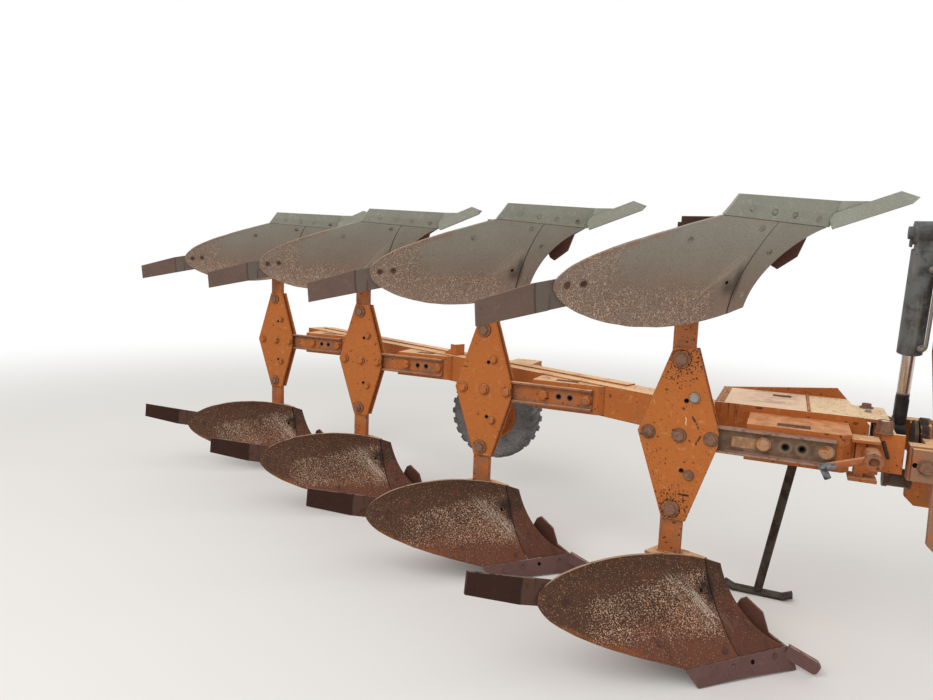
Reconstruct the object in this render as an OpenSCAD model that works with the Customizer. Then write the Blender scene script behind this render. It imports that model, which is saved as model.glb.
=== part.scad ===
// Four-furrow mounted reversible plough.
// Origin midway between the lower hitch pins, X forward along travel, Y to the left, Z up.
// The right-turning bodies are down; the left-turning bodies mirror them above the turnover axis.

/* [Layout] */
// Distance from one plough body to the next along travel
body_pitch = 950; // [850:5:1050]
// Width cut by each body, the sideways step between bodies
furrow_w = 400; // [380:5:430]
// Height of the turnover axis above the lower hitch pins
axis_h = 280; // [260:5:330]
// Distance from the turnover axis to the sole of each body
body_reach = 850; // [820:5:900]
// Distance from the hitch pins back to the first pair of legs
first_back = 1000; // [990:2:1020]
// Distance from the turnover axis to the right of the first pair of legs
first_right = 420; // [410:2:430]

/* [Legs] */
// Thickness of each leg plate
plate_t = 12; // [10:1:16]
// Half height of a leg plate
plate_top = 320; // [310:2:340]
// Width of a leg plate's narrow ends
plate_end_w = 86; // [80:2:100]
// Width of a leg plate at its middle
plate_mid_w = 286; // [280:2:300]
// Thickness of a leg
leg_t = 30; // [26:1:36]
// Width of a leg below its pivot
leg_w = 80; // [72:2:84]
// Height of the pivot bolts above and below the turnover axis
pivot_z = 280; // [270:2:290]
// Diameter of the pivot bolts
pivot_d = 30; // [24:1:34]
// Diameter of the washers on the pivot bolts
pivot_washer_d = 66; // [60:1:70]
// Height of the shear bolts above and below the turnover axis
shear_z = 144; // [138:1:150]
// Diameter of the shear bolts
shear_d = 20; // [16:1:22]
// Diameter of the three bolts that clamp the arm
row_d = 24; // [20:1:26]
// Diameter of the washers on the three bolts that clamp the arm
row_washer_d = 50; // [44:1:54]
// Thickness of the washers
washer_t = 5; // [4:0.5:6]
// Spacing of the three bolts that clamp the arm
row_pitch = 111; // [105:1:112]

/* [Arms and beam] */
// Height of an arm
arm_h = 95; // [85:1:110]
// Length of an arm ahead of the leg plates' middle
arm_reach = 510; // [505:1:530]
// Wall of an arm's channel
arm_wall = 8; // [6:1:10]
// Height and width of the square beam
beam_w = 140; // [130:2:150]
// Wall of the beam
beam_wall = 10; // [8:1:12]
// Distance from the legs' line to the beam's centre, measured across travel
beam_off = 369; // [360:1:375]
// Height of a beam bracket
bracket_h = 130; // [120:2:138]

/* [Front frame] */
// Height of the front frame
frame_h = 180; // [176:2:196]
// Width of the front frame
frame_w = 390; // [380:2:400]
// Length of the front frame
frame_len = 512; // [505:1:520]
// Thickness of its plates
frame_t = 12; // [10:1:16]

/* [Plough body] */
// Angle between the level generators and travel at the reference height
board_angle = 42.8; // [40:0.1:48]
// Turn of the level generators from the sole up to a height of one metre
board_twist = -3.6; // [-6:0.1:2]
// Distance of the board's upright top in front of the leg's plane
board_lead = 76; // [70:1:84]
// Depth of the board's section, from its toe back to its upright top
board_depth = 156; // [140:1:166]
// Height at which the section's curve starts, below the sole
board_low = -14; // [-24:1:-8]
// Height over which the section curves
board_span = 400; // [385:5:420]
// Thickness of the mouldboard and shin
board_t = 8; // [6:0.5:9]
// Height of the share's wing above the sole
share_h = 70; // [64:1:76]
// Rise of the share's upper edge from its wing to its front
share_rise = 20; // [14:1:24]
// Thickness of the share
share_t = 11; // [9:0.5:12]
// Depth to which the edges of the lower, worn shares are hollowed
share_wear = 8; // [0:1:12]
// Thickness of the tail extension
tail_t = 10; // [8:0.5:12]
// Width of the chisel point
point_w = 50; // [44:1:56]
// Thickness of the chisel point
point_t = 20; // [16:1:24]
// Dip of the chisel point below level
point_dip = 21; // [18:1:24]
// Reach of the lower, worn points ahead of the leg plates' middle
point_reach_low = 537; // [528:1:600]
// Reach of the upper points ahead of the leg plates' middle
point_reach_up = 672; // [600:1:680]
// Length of a landside
landside_len = 426; // [400:2:450]
// Height of a landside
landside_h = 118; // [110:1:126]
// Height of a landside's lower edge above the sole
landside_rise = 56; // [50:1:62]

/* [Headstock] */
// Distance between the middles of the lower hitch balls
hitch_span = 825; // [800:5:840]
// Diameter of the lower hitch pins
hitch_pin_d = 28; // [22:1:36]
// Height of the top link pin above the lower hitch pins
mast_h = 610; // [560:5:640]
// Diameter of the top link pin hole
top_pin_d = 25.5; // [20:0.5:32]
// Diameter of the turnover shaft
shaft_d = 90; // [80:1:96]
// Outside diameter of the turnover housing
housing_d = 150; // [140:1:160]
// Radius of the turnover crank
crank_r = 160; // [155:1:165]
// Height of the cylinder's upper pin above the turnover axis
cyl_top = 760; // [755:1:780]
// Outside diameter of the cylinder barrel
barrel_d = 86; // [80:1:110]
// Length of the cylinder barrel below its upper pin
barrel_len = 455; // [440:1:460]
// Diameter of the cylinder rod
rod_d = 46; // [40:1:56]

/* [Depth wheel] */
// Outside diameter of the depth wheel
wheel_d = 560; // [520:5:600]
// Width of its tyre
tyre_w = 180; // [150:5:200]
// Diameter of its rim
rim_d = 300; // [280:5:320]
// Length of the wheel's arm
wheel_arm_len = 460; // [440:5:480]
// Angle of the wheel's arm below level, which is also its stop angle above level
wheel_arm_angle = 47; // [40:1:52]

/* [Parking stand] */
// Diameter of the stand's leg
stand_d = 36; // [30:1:42]

/* [Clearances] */
// Running clearance on the radius of a shaft or rod
run_gap = 0.05; // [0.02:0.01:0.09]
// Gap between curved pieces that rest against each other
seat_gap = 0.3; // [0.2:0.05:0.5]
// Clearance on the radius of a bolt in its hole
bolt_gap = 0.3; // [0.2:0.05:0.5]

/* [Hidden] */
$fn = 64;

STATIONS = [0, 1, 2, 3];
LOWER = 0;
UPPER = 1;

orange = [0.80, 0.42, 0.13];
pale_orange = [0.86, 0.56, 0.28];
rust = [0.36, 0.22, 0.15];
dark_rust = [0.27, 0.15, 0.12];
worn_steel = [0.42, 0.38, 0.34];
dark_steel = [0.16, 0.16, 0.17];
chrome = [0.75, 0.72, 0.68];
rubber = [0.20, 0.19, 0.18];

// Leg sandwich, across travel from the outer face of the near plate
leg_y0 = plate_t;
leg_y1 = plate_t + leg_t;
pack_t = 2 * plate_t + leg_t;
pivot_x = -11;
shear_x = 44;
spare_x = 17;
spare_z = 130;
spare_d = 15;
plate_left = -plate_mid_w / 2 - 7;
plate_right = plate_mid_w / 2 - 7;

// Beam line
beam_angle = atan2(furrow_w, body_pitch);
beam_half_y = beam_w / 2 / cos(beam_angle);
beam_slope = furrow_w / body_pitch;
frame_back_x = 90;
beam_back_x = -3 * body_pitch + 190;

// Front frame, in the first station's coordinates
frame_near_y = 270;
frame_far_y = frame_near_y + frame_w;
frame_front_x = frame_back_x + frame_len;

hub_x = arm_reach + 110;

// Places along X from the hitch pins
housing_back = -205;
block_back = housing_back - 57;
housing_front = 10;
rod_x = -250;
crank_x0 = -303;
crank_x1 = -287;

// Depth wheel, in the first station's coordinates
wheel_pivot_x = -965;
wheel_pivot_y = 1120;
wheel_y = 1385;
hub_len = 90;

// Parking stand, in the first station's coordinates
stand_top = [400, 560, -frame_h / 2 - 44];
stand_foot = [300, 720, -body_reach + 12];
stand_eye_w = 50;
stand_pin_d = 24;

// Board and shin outlines as cubic curves in the sheet's own coordinates [along the generator, height]
board_tip = [-566, 318];
share_wing = [-50, share_h];
share_seam = [172, share_h + share_rise * 0.52];
share_nose = [378, share_h + share_rise];
seam_top = [98, 399];
board_foot = [board_tip, [-576, 238], [-352, 160], share_wing];
board_top = [board_tip, [-557, 403], [-252, 509], seam_top];
seam_line = [seam_top, [121, 307], [114, 177], share_seam];
shin_line = [[169, 375], [196, 275], [227, 153], share_nose];
seam_slit = 3;
share_slit = 1.5;
reference_h = 200;
guide_t = 100;

// Landside and chisel point, across travel
landside_y0 = 118.3;
landside_t = 12;
point_y0 = landside_y0 - seat_gap - point_t;

module at_axis() {
    translate([0, 0, axis_h]) children();
}

// Places a station's own frame: x and y from its leg plates' middle, z from the turnover axis
module at_station(i) {
    at_axis()
        translate([-first_back - i * body_pitch, -first_right + i * furrow_w, 0])
            children();
}

// Turns a lower body into the upper one
module row(side) {
    if (side == UPPER)
        mirror([0, 0, 1]) children();
    else
        children();
}

// Places a body's own frame, with its height measured up from the sole
module at_body(i, side) {
    at_station(i)
        row(side)
            translate([0, 0, -body_reach])
                children();
}

// Extrudes an outline drawn in x and z across travel, from y0 to y1
module across(y0, y1) {
    translate([0, y1, 0])
        rotate([90, 0, 0])
            linear_extrude(y1 - y0)
                children();
}

// Extrudes an outline drawn in y and z along travel, from x0 to x1
module along(x0, x1) {
    translate([x0, 0, 0])
        rotate([90, 0, 90])
            linear_extrude(x1 - x0)
                children();
}

// Round bar across travel
module bar_y(x, z, d, y0, y1) {
    translate([x, y1, z])
        rotate([90, 0, 0])
            cylinder(d = d, h = y1 - y0);
}

// Round bar along travel
module bar_x(y, z, d, x0, x1) {
    translate([x0, y, z])
        rotate([0, 90, 0])
            cylinder(d = d, h = x1 - x0);
}

function mix(a, b, s) = a + (b - a) * s;

function bezier(p, s) =
    pow(1 - s, 3) * p[0] + 3 * s * pow(1 - s, 2) * p[1] + 3 * s * s * (1 - s) * p[2] + pow(s, 3) * p[3];

// Section of the board, half a cosine wave: distance behind the leg's plane at height h
function section_n(h) =
    -board_lead - board_depth / 2 * (1 + cos(180 * (h - board_low) / board_span));

function section_slope(h) =
    board_depth / 2 * sin(180 * (h - board_low) / board_span) * PI / board_span;

function generator_angle(h) = board_angle + board_twist * (h - reference_h) / 1000;

// Point of the cylindroid at t along the level generator and height h, set back by d
function board_point(t, h, d) =
    let (
        k = section_slope(h),
        tilt = sqrt(1 + k * k),
        n = section_n(h),
        a = generator_angle(h),
        u = t - guide_t
    )
    [
        guide_t * cos(board_angle) - n * sin(board_angle) + u * cos(a) - d / tilt * sin(a),
        guide_t * sin(board_angle) + n * cos(board_angle) + u * sin(a) + d / tilt * cos(a),
        h - d * k / tilt
    ];

// Closed sheet through a grid of [t, h] points, from depth d0 to depth d1 behind the face
module sheet(grid, d0, d1) {
    nu = len(grid);
    nv = len(grid[0]);
    front = [for (r = grid) for (p = r) board_point(p[0], p[1], d0)];
    back = [for (r = grid) for (p = r) board_point(p[0], p[1], d1)];
    m = nu * nv;
    function id(i, j, s) = s * m + i * nv + j;
    faces = [
        for (i = [0:nu - 2]) for (j = [0:nv - 2]) each [
            [id(i, j, 0), id(i, j + 1, 0), id(i + 1, j + 1, 0)],
            [id(i, j, 0), id(i + 1, j + 1, 0), id(i + 1, j, 0)],
            [id(i, j, 1), id(i + 1, j + 1, 1), id(i, j + 1, 1)],
            [id(i, j, 1), id(i + 1, j, 1), id(i + 1, j + 1, 1)]
        ],
        for (i = [0:nu - 2]) each [
            [id(i, 0, 0), id(i + 1, 0, 0), id(i + 1, 0, 1)],
            [id(i, 0, 0), id(i + 1, 0, 1), id(i, 0, 1)],
            [id(i, nv - 1, 0), id(i + 1, nv - 1, 1), id(i + 1, nv - 1, 0)],
            [id(i, nv - 1, 0), id(i, nv - 1, 1), id(i + 1, nv - 1, 1)]
        ],
        for (j = [0:nv - 2]) each [
            [id(0, j, 0), id(0, j, 1), id(0, j + 1, 1)],
            [id(0, j, 0), id(0, j + 1, 1), id(0, j + 1, 0)],
            [id(nu - 1, j, 0), id(nu - 1, j + 1, 1), id(nu - 1, j, 1)],
            [id(nu - 1, j, 0), id(nu - 1, j + 1, 0), id(nu - 1, j + 1, 1)]
        ]
    ];
    polyhedron(points = concat(front, back), faces = faces, convexity = 4);
}

// Lower edge of the board: along its foot to the share's wing, then along the share to the seam
function board_low_edge(s) =
    let (turn = 0.78)
    s < turn ? bezier(board_foot, s / turn) : mix(share_wing, share_seam, (s - turn) / (1 - turn));

// Mouldboard between its foot and its top, bowed at s = 1 onto the seam
function board_grid(nu, nv) = [
    for (i = [0:nu])
        let (s = 0.03 + 0.97 * i / nu, foot = board_low_edge(s) + [0, share_slit], top = bezier(board_top, s))
        [
            for (j = [0:nv])
                let (v = j / nv, bow = bezier(seam_line, 1 - v) - mix(share_seam, seam_top, v))
                mix(foot, top, v) + s * s * s * bow
        ]
];

// Shin between the seam and its cutting edge
function shin_grid(nu, nv) = [
    for (i = [0:nu])
        [
            for (j = [0:nv])
                let (v = 1 - j / nv)
                mix(bezier(seam_line, v) + [seam_slit, 0], bezier(shin_line, v), i / nu) + [0, share_slit * v]
        ]
];

// Share between its edge on the sole, worn hollow by the given depth, and the board and shin above it
function share_grid(nu, nv, wear) =
    let (edge = [[-5, 2], [425, 2]])
    [
        for (i = [0:nu])
            let (
                s = i / nu,
                foot = mix(edge[0], edge[1], s) + [0, wear * sin(180 * s)],
                top = mix(share_wing, share_nose + [7, 0], s)
            )
            [for (j = [0:nv]) mix(foot, top, j / nv)]
    ];

board_rows = board_grid(14, 9);
shin_rows = shin_grid(3, 9);

// Frog's face plate: the middle of the board's and the shin's own rows, so that it lies flat behind both
frog_rows = [
    for (r = concat([for (i = [10:14]) board_rows[i]], [for (i = [0:2]) shin_rows[i]])) [for (j = [1:8]) r[j]]
];

module plate_outline() {
    polygon([
        [-plate_end_w / 2 + 1, plate_top], [plate_end_w / 2 + 1, plate_top],
        [plate_right, 25], [plate_right, -25],
        [plate_end_w / 2 + 1, -plate_top], [-plate_end_w / 2 + 1, -plate_top],
        [plate_left, 0]
    ]);
}

module leg_plates(i) {
    color(orange)
        at_station(i)
            difference() {
                union() {
                    for (y = [0, leg_y1]) across(y, y + plate_t) plate_outline();
                    for (x = [-row_pitch, 0, row_pitch]) bar_y(x, 0, row_d, -14, pack_t + 14);
                    for (s = [-1, 1]) {
                        bar_y(pivot_x, s * pivot_z, pivot_d, -12, pack_t + 16);
                        bar_y(shear_x, s * shear_z, shear_d, -12, pack_t + 16);
                    }
                    for (x = [-row_pitch, 0, row_pitch]) bar_y(x, 0, row_washer_d, -washer_t, 0);
                    for (s = [-1, 1]) bar_y(pivot_x, s * pivot_z, pivot_washer_d, -washer_t, 0);
                }
                for (s = [-1, 1]) bar_y(spare_x, s * spare_z, spare_d, -1, leg_y0 + 1);
            }
}

module leg_outline() {
    leg_foot = -body_reach + 130;
    polygon([
        [-42, -102], [62, -102], [78, -150], [leg_w / 2 - 7, -300], [leg_w / 2 - 7, leg_foot],
        [-leg_w / 2 - 7, leg_foot], [-leg_w / 2 - 7, -300]
    ]);
}

module legs(side) {
    color(orange)
        for (i = STATIONS)
            at_station(i)
                row(side)
                    difference() {
                        across(leg_y0 + seat_gap, leg_y1 - seat_gap) leg_outline();
                        bar_y(pivot_x, -pivot_z, pivot_d + 2 * bolt_gap, 0, pack_t);
                        bar_y(shear_x, -shear_z, shear_d + 2 * bolt_gap, 0, pack_t);
                    }
}

module arm(i) {
    bolt_at = [arm_reach - 227, arm_reach - 27];
    hole_at = [arm_reach - 156, arm_reach - 103];
    hole_d = 17;
    color(i == 0 ? worn_steel : orange)
        at_station(i)
            difference() {
                union() {
                    difference() {
                        across(leg_y0 + seat_gap, leg_y1 - seat_gap)
                            polygon([
                                [-140, -arm_h / 2], [arm_reach, -arm_h / 2],
                                [arm_reach, arm_h / 2], [-140, arm_h / 2]
                            ]);
                        across(-1, leg_y1 - seat_gap - arm_wall)
                            polygon([
                                [-141, -arm_h / 2 + arm_wall], [arm_reach + 1, -arm_h / 2 + arm_wall],
                                [arm_reach + 1, arm_h / 2 - arm_wall], [-141, arm_h / 2 - arm_wall]
                            ]);
                    }
                    for (x = bolt_at) bar_y(x, 0, 38, leg_y1 - arm_wall - 14, leg_y1 - arm_wall);
                }
                for (x = [-row_pitch, 0, row_pitch])
                    bar_y(x, 0, row_d + 2 * bolt_gap, leg_y0, pack_t);
                for (x = hole_at) bar_y(x, 0, hole_d, leg_y0, pack_t);
            }
}

// Wedge between an arm and the beam; the first one stands against the front frame's side
module bracket(i) {
    x0 = arm_reach - 288;
    x1 = arm_reach + 46;
    corner = 24;
    face_y = leg_y1;
    function beam_face(x) = beam_off - beam_half_y - beam_slope * x - seat_gap;
    at_station(i)
        difference() {
            translate([0, 0, -bracket_h / 2])
                linear_extrude(bracket_h)
                    if (i == 0)
                        polygon([
                            [x0, face_y], [x1 - corner, face_y], [x1, face_y + corner],
                            [x1, frame_near_y], [x0, frame_near_y]
                        ]);
                    else
                        polygon([
                            [x0, face_y], [x1 - corner, face_y], [x1, face_y + corner / 2],
                            [x1, beam_face(x1)], [x0, beam_face(x0)]
                        ]);
            for (s = [-1, 1])
                translate([arm_reach - 135, 96, s * bracket_h / 2]) cube([100, 16, 24], center = true);
        }
}

module beam_brackets() {
    color(orange)
        for (i = STATIONS) bracket(i);
}

module main_beam() {
    over = 200;
    strip_w = 62;
    strip_t = 7;
    rest_at = over + 1420;
    len = (frame_back_x - beam_back_x) / cos(beam_angle) + over;
    color(orange)
        at_station(0)
            intersection() {
                translate([0, beam_off, 0])
                    rotate([0, 0, 180 - beam_angle])
                        translate([-over, 0, 0])
                            difference() {
                                union() {
                                    translate([0, -beam_w / 2, -beam_w / 2])
                                        cube([len, beam_w, beam_w]);
                                    // Stiffening strips on the beam's top and underside
                                    translate([over + 330, -beam_w / 2 + 6, -beam_w / 2 - strip_t])
                                        cube([len - over - 420, strip_w, beam_w + 2 * strip_t]);
                                    // Open gusseted rest on the beam's top
                                    translate([rest_at, -10, beam_w / 2 - 1]) {
                                        cube([8, 60, 62]);
                                        cube([110, 6, 50]);
                                        translate([0, 54, 0])
                                            rotate([90, 0, 0])
                                                linear_extrude(6)
                                                    polygon([[0, 0], [110, 0], [8, 62], [0, 62]]);
                                    }
                                }
                                translate([-1, -beam_w / 2 + beam_wall, -beam_w / 2 + beam_wall])
                                    cube([len - 11, beam_w - 2 * beam_wall, beam_w - 2 * beam_wall]);
                            }
                translate([beam_back_x - over, -200, -beam_w])
                    cube([frame_back_x - beam_back_x + over, 2600, 2 * beam_w]);
            }
}

module front_frame() {
    front_slant = 34;
    flange_rise = 42;
    deck = [
        [frame_back_x, frame_near_y], [frame_front_x, frame_near_y],
        [frame_front_x - front_slant, frame_far_y], [frame_back_x, frame_far_y]
    ];
    color(orange)
        at_station(0)
            difference() {
                union() {
                    for (z = [-frame_h / 2, frame_h / 2 - frame_t])
                        translate([0, 0, z]) linear_extrude(frame_t) polygon(deck);
                    // Near side with its front corner cut back
                    across(frame_near_y, frame_near_y + frame_t)
                        polygon([
                            [frame_back_x, -frame_h / 2], [frame_front_x, -frame_h / 2],
                            [frame_front_x + 22, -frame_h / 2 + 26], [frame_front_x + 22, frame_h / 2 - 26],
                            [frame_front_x, frame_h / 2], [frame_back_x, frame_h / 2]
                        ]);
                    // Far side rises above the deck as a flange
                    across(frame_far_y - frame_t, frame_far_y)
                        polygon([
                            [frame_back_x, -frame_h / 2],
                            [frame_front_x - 72, -frame_h / 2 - flange_rise],
                            [frame_front_x - front_slant, -frame_h / 2],
                            [frame_front_x - front_slant, frame_h / 2],
                            [frame_front_x - 72, frame_h / 2 + flange_rise],
                            [frame_back_x, frame_h / 2]
                        ]);
                    translate([frame_back_x, frame_near_y, -frame_h / 2])
                        cube([frame_t, frame_w, frame_h]);
                    // Lugs and pin of the parking stand
                    translate(stand_top) {
                        for (y = [-stand_eye_w / 2 - 6 - frame_t, stand_eye_w / 2 + 6])
                            across(y, y + frame_t)
                                polygon([[-34, 46], [34, 46], [34, -10], [14, -30], [-14, -30], [-34, -10]]);
                        bar_y(0, 0, stand_pin_d, -stand_eye_w / 2 - 26, stand_eye_w / 2 + 26);
                    }
                }
                for (s = [-1, 1])
                    translate([325, 560, s * frame_h / 2]) cube([60, 14, 4 * frame_t], center = true);
            }
}

// Rotating plates that join the front frame to the turnover shaft
module carriage() {
    top_z = frame_h / 2;
    front_x = first_back + crank_x0 - 2;
    plate_x = front_x - 18;
    side_front = first_back + block_back - 16;
    color(orange)
        at_station(0)
            difference() {
                union() {
                    for (s = [-1, 1])
                        translate([0, 0, s > 0 ? top_z - 2 * frame_t - seat_gap : -top_z + frame_t + seat_gap])
                            linear_extrude(frame_t)
                                polygon([
                                    [frame_front_x - 150, 330], [front_x, 330], [front_x, 600],
                                    [frame_front_x - 150, 600]
                                ]);
                    translate([plate_x, 140, -68]) cube([18, 480, 136]);
                    across(140, 158)
                        polygon([[650, -68], [side_front, -68], [side_front, 68], [650, 68]]);
                    translate([plate_x - 30, first_right - 70, -66]) cube([40, 140, 132]);
                    translate([front_x - 38, 149, 67]) cylinder(d = 44, h = 44, $fn = 6);
                }
                bar_x(first_right, 0, shaft_d + 2 * seat_gap, plate_x - 60, front_x + 10);
            }
}

// Shaft in two lengths on one axis, joined by a yoke that passes outside the cylinder's swing
module turnover_shaft() {
    lug = 104;
    yoke_r = 150;
    yoke_d = 78;
    flange_x0 = rod_x + 28;
    flange_x1 = housing_back - 5;
    color(worn_steel)
        at_axis() {
            bar_x(0, 0, shaft_d, flange_x0, housing_front + 14);
            bar_x(0, 0, shaft_d + 34, housing_front + 5, housing_front + 22);
            bar_x(0, 0, shaft_d, crank_x0 - 46, crank_x0 + 1);
            for (x = [[crank_x0, crank_x1], [flange_x0, flange_x1]])
                along(x[0], x[1]) {
                    circle(d = housing_d);
                    polygon([
                        [-housing_d / 2, 0], [-yoke_d / 2, -yoke_r], [yoke_d / 2, -yoke_r], [housing_d / 2, 0]
                    ]);
                    translate([0, -yoke_r]) circle(d = yoke_d);
                }
            bar_x(0, -yoke_r, yoke_d - 8, crank_x0 + 1, flange_x0 + 1);
            along(crank_x0, crank_x1) {
                polygon([[0, -housing_d / 2], [crank_r, -lug / 2], [crank_r, lug / 2], [0, housing_d / 2]]);
                translate([crank_r, 0]) circle(d = lug);
            }
        }
}

module headstock() {
    cross_y = 214;
    block_w = 60;
    color(pale_orange)
        at_axis()
            difference() {
                union() {
                    bar_x(0, 0, housing_d, housing_back, housing_front);
                    bar_x(0, 0, housing_d + 24, housing_back + 5, housing_back + 33);
                    translate([housing_back, -cross_y - 1, -88])
                        cube([120, 2 * cross_y + 2, 118]);
                    for (s = [-1, 1])
                        translate([block_back, s > 0 ? cross_y : -cross_y - block_w, -86])
                            cube([210, block_w, 122]);
                }
                bar_x(0, 0, shaft_d + 2 * run_gap, housing_back - 10, housing_front + 10);
            }
}

module lower_link_arms() {
    arm_y = 274;
    arm_t = 25;
    boss_d = 62;
    pin_len = 64;
    shoulder = hitch_span / 2 - 22;
    color(orange)
        for (s = [-1, 1]) {
            y0 = s > 0 ? arm_y : -arm_y - arm_t;
            difference() {
                union() {
                    across(y0, y0 + arm_t) {
                        polygon([
                            [-255, axis_h - 80], [-255, axis_h + 30], [-60, axis_h + 30], [38, 20],
                            [boss_d / 2 + 10, -14], [10, -48], [-150, -48], [-186, -14],
                            [-190, axis_h - 80]
                        ]);
                        circle(d = 84);
                    }
                    if (s > 0)
                        bar_y(0, 0, boss_d, arm_y, shoulder);
                    else
                        bar_y(0, 0, boss_d, -shoulder, -arm_y);
                    if (s > 0)
                        bar_y(0, 0, hitch_pin_d, arm_y, shoulder + pin_len);
                    else
                        bar_y(0, 0, hitch_pin_d, -shoulder - pin_len, -arm_y);
                }
                translate([0, s * (shoulder + pin_len - 12), -30]) cylinder(d = 11, h = 60);
            }
        }
}

module mast() {
    mast_t = 16;
    mast_half = 36;
    rear_x = -185;
    top_z = axis_h + cyl_top + 44;
    boss_x = rod_x + barrel_d / 2 + seat_gap;
    color(pale_orange)
        difference() {
            union() {
                for (s = [-1, 1])
                    across(s > 0 ? mast_half : -mast_half - mast_t, s > 0 ? mast_half + mast_t : -mast_half)
                        polygon([
                            [-150, axis_h + 40], [-10, axis_h + 40], [60, mast_h - 60], [60, mast_h + 40],
                            [-10, mast_h + 60], [-90, top_z], [rear_x, top_z], [rear_x, axis_h + 330]
                        ]);
                // Cross plate and boss behind the cylinder's upper pin
                translate([rear_x, -mast_half - 1, axis_h + cyl_top - 90])
                    cube([16, 2 * mast_half + 2, 134]);
                bar_x(0, axis_h + cyl_top, 74, boss_x, rear_x + 30);
                for (z = [axis_h + 330, axis_h + 480])
                    translate([rear_x + 20, -mast_half - 1, z]) cube([70, 2 * mast_half + 2, 12]);
            }
            bar_y(20, mast_h, top_pin_d, -100, 100);
            bar_x(0, axis_h, housing_d + 2 * seat_gap, housing_back - 10, housing_front + 10);
        }
}

// The cylinder's own frame: z runs from the crank's pin up to its upper pin
module cylinder_frame() {
    swing = atan2(crank_r, cyl_top);
    at_axis()
        translate([rod_x, crank_r, 0])
            rotate([swing, 0, 0])
                children();
}

cyl_len = sqrt(crank_r * crank_r + cyl_top * cyl_top);
crank_pin_d = 34;

module cylinder_barrel() {
    eye_d = 84;
    gland = 26;
    foot = cyl_len - barrel_len;
    color(dark_steel)
        cylinder_frame()
            difference() {
                union() {
                    translate([0, 0, foot]) cylinder(d = barrel_d, h = barrel_len - 62);
                    translate([-barrel_d / 2, 0, cyl_len]) rotate([0, 90, 0]) cylinder(d = eye_d, h = barrel_d);
                    translate([-32, -36, cyl_len - 70]) cube([64, 72, 70]);
                    // Upper pin's head and its keeper
                    translate([-barrel_d / 2 - 16, 0, cyl_len]) rotate([0, 90, 0]) cylinder(d = 46, h = 20);
                    translate([-barrel_d / 2 - 8, -14, cyl_len - 50]) cube([8.5, 28, 60]);
                }
                translate([0, 0, foot - 1]) cylinder(d = rod_d + 2 * run_gap, h = gland + 2);
                translate([0, 0, foot + gland]) cylinder(d = barrel_d - 20, h = barrel_len - gland - 92);
            }
}

// The eye carries its own pin, which stops short of the crank
module cylinder_rod() {
    eye_d = 86;
    eye_w = 44;
    shank = 138;
    pin_x0 = crank_x1 + 5.5 - rod_x;
    color(chrome)
        cylinder_frame() {
            translate([0, 0, shank - 1]) cylinder(d = rod_d, h = cyl_len - barrel_len - shank + 61);
            // Forged shank, no wider than the eye, so that it passes between the shaft's two flanges
            intersection() {
                cylinder(d = rod_d + 12, h = shank);
                translate([-eye_w / 2, -rod_d, 0]) cube([eye_w, 2 * rod_d, shank]);
            }
            translate([-eye_w / 2, 0, 0]) rotate([0, 90, 0]) cylinder(d = eye_d, h = eye_w);
            translate([pin_x0, 0, 0]) rotate([0, 90, 0]) cylinder(d = crank_pin_d, h = eye_w / 2 - pin_x0);
        }
}

module width_adjuster() {
    ear_x = arm_reach + 46 + seat_gap;
    ear_len = hub_x + 23 - ear_x;
    color(orange)
        at_station(0)
            difference() {
                union() {
                    translate([ear_x, 60, 42]) cube([ear_len, 90, 10]);
                    translate([ear_x, 60, -92]) cube([ear_len, 90, 10]);
                    translate([hub_x - 48, 84, -66]) cube([72, 46, 108]);
                    translate([hub_x - 48, 84, -84]) cube([30, 46, 20]);
                }
                bar_y(hub_x, 0, 26, 60, 120);
            }
}

module crank_handle() {
    bar_at = -5;
    color(pale_orange)
        at_station(0)
            union() {
                bar_y(hub_x, 0, 25.6, 83, 119);
                difference() {
                    bar_y(hub_x, 0, 60, -24, 84 - seat_gap);
                    bar_y(hub_x, 0, 30, -25, -8);
                }
                translate([hub_x - 14, bar_at, 4]) rotate([0, -109, 0]) cylinder(d = 25, h = 141);
                translate([hub_x - 150, bar_at, -36]) rotate([0, 152, 0]) cylinder(d = 23, h = 48);
            }
}

module mouldboard(i, side) {
    color(rust)
        at_body(i, side)
            sheet(board_rows, 0, board_t);
}

module shins(side) {
    color(rust)
        for (i = STATIONS)
            at_body(i, side)
                sheet(shin_rows, 0, board_t);
}

module shares(side) {
    color(dark_rust)
        for (i = STATIONS)
            at_body(i, side)
                difference() {
                    union() {
                        sheet(share_grid(6, 2, side == LOWER ? share_wear : 0), -1, share_t - 1);
                        // Nose of the unworn share, which runs on under the point
                        if (side == UPPER)
                            across(landside_y0 - seat_gap - share_t, landside_y0 - seat_gap)
                                polygon([[430, 2], [540, 3], [540, 14], [430, 58]]);
                    }
                    across(point_y0 - seat_gap, landside_y0 + 40) point_outline(side, seat_gap);
                    translate([300, landside_y0 - seat_gap, -20]) cube([300, 60, 200]);
                }
}

// Side view of the chisel point, grown by g; the lower ones are worn short
module point_outline(side, g) {
    reach = side == UPPER ? point_reach_up : point_reach_low;
    back_x = 424;
    back_h = 74;
    run = (reach - back_x) / cos(point_dip);
    half = point_w / 2 + g;
    translate([back_x, back_h])
        rotate(-point_dip)
            if (side == UPPER)
                polygon([
                    [-g, -half], [run - 44, -half], [run, half - 12], [run - 24, half], [-g, half]
                ]);
            else
                polygon([
                    [-g, -half], [run - 10, -half], [run - 2, -half + 10], [run, half - 12],
                    [run - 16, half], [-g, half]
                ]);
}

module points(side) {
    color(dark_rust)
        for (i = STATIONS)
            at_body(i, side)
                across(point_y0, point_y0 + point_t) point_outline(side, 0);
}

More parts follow.
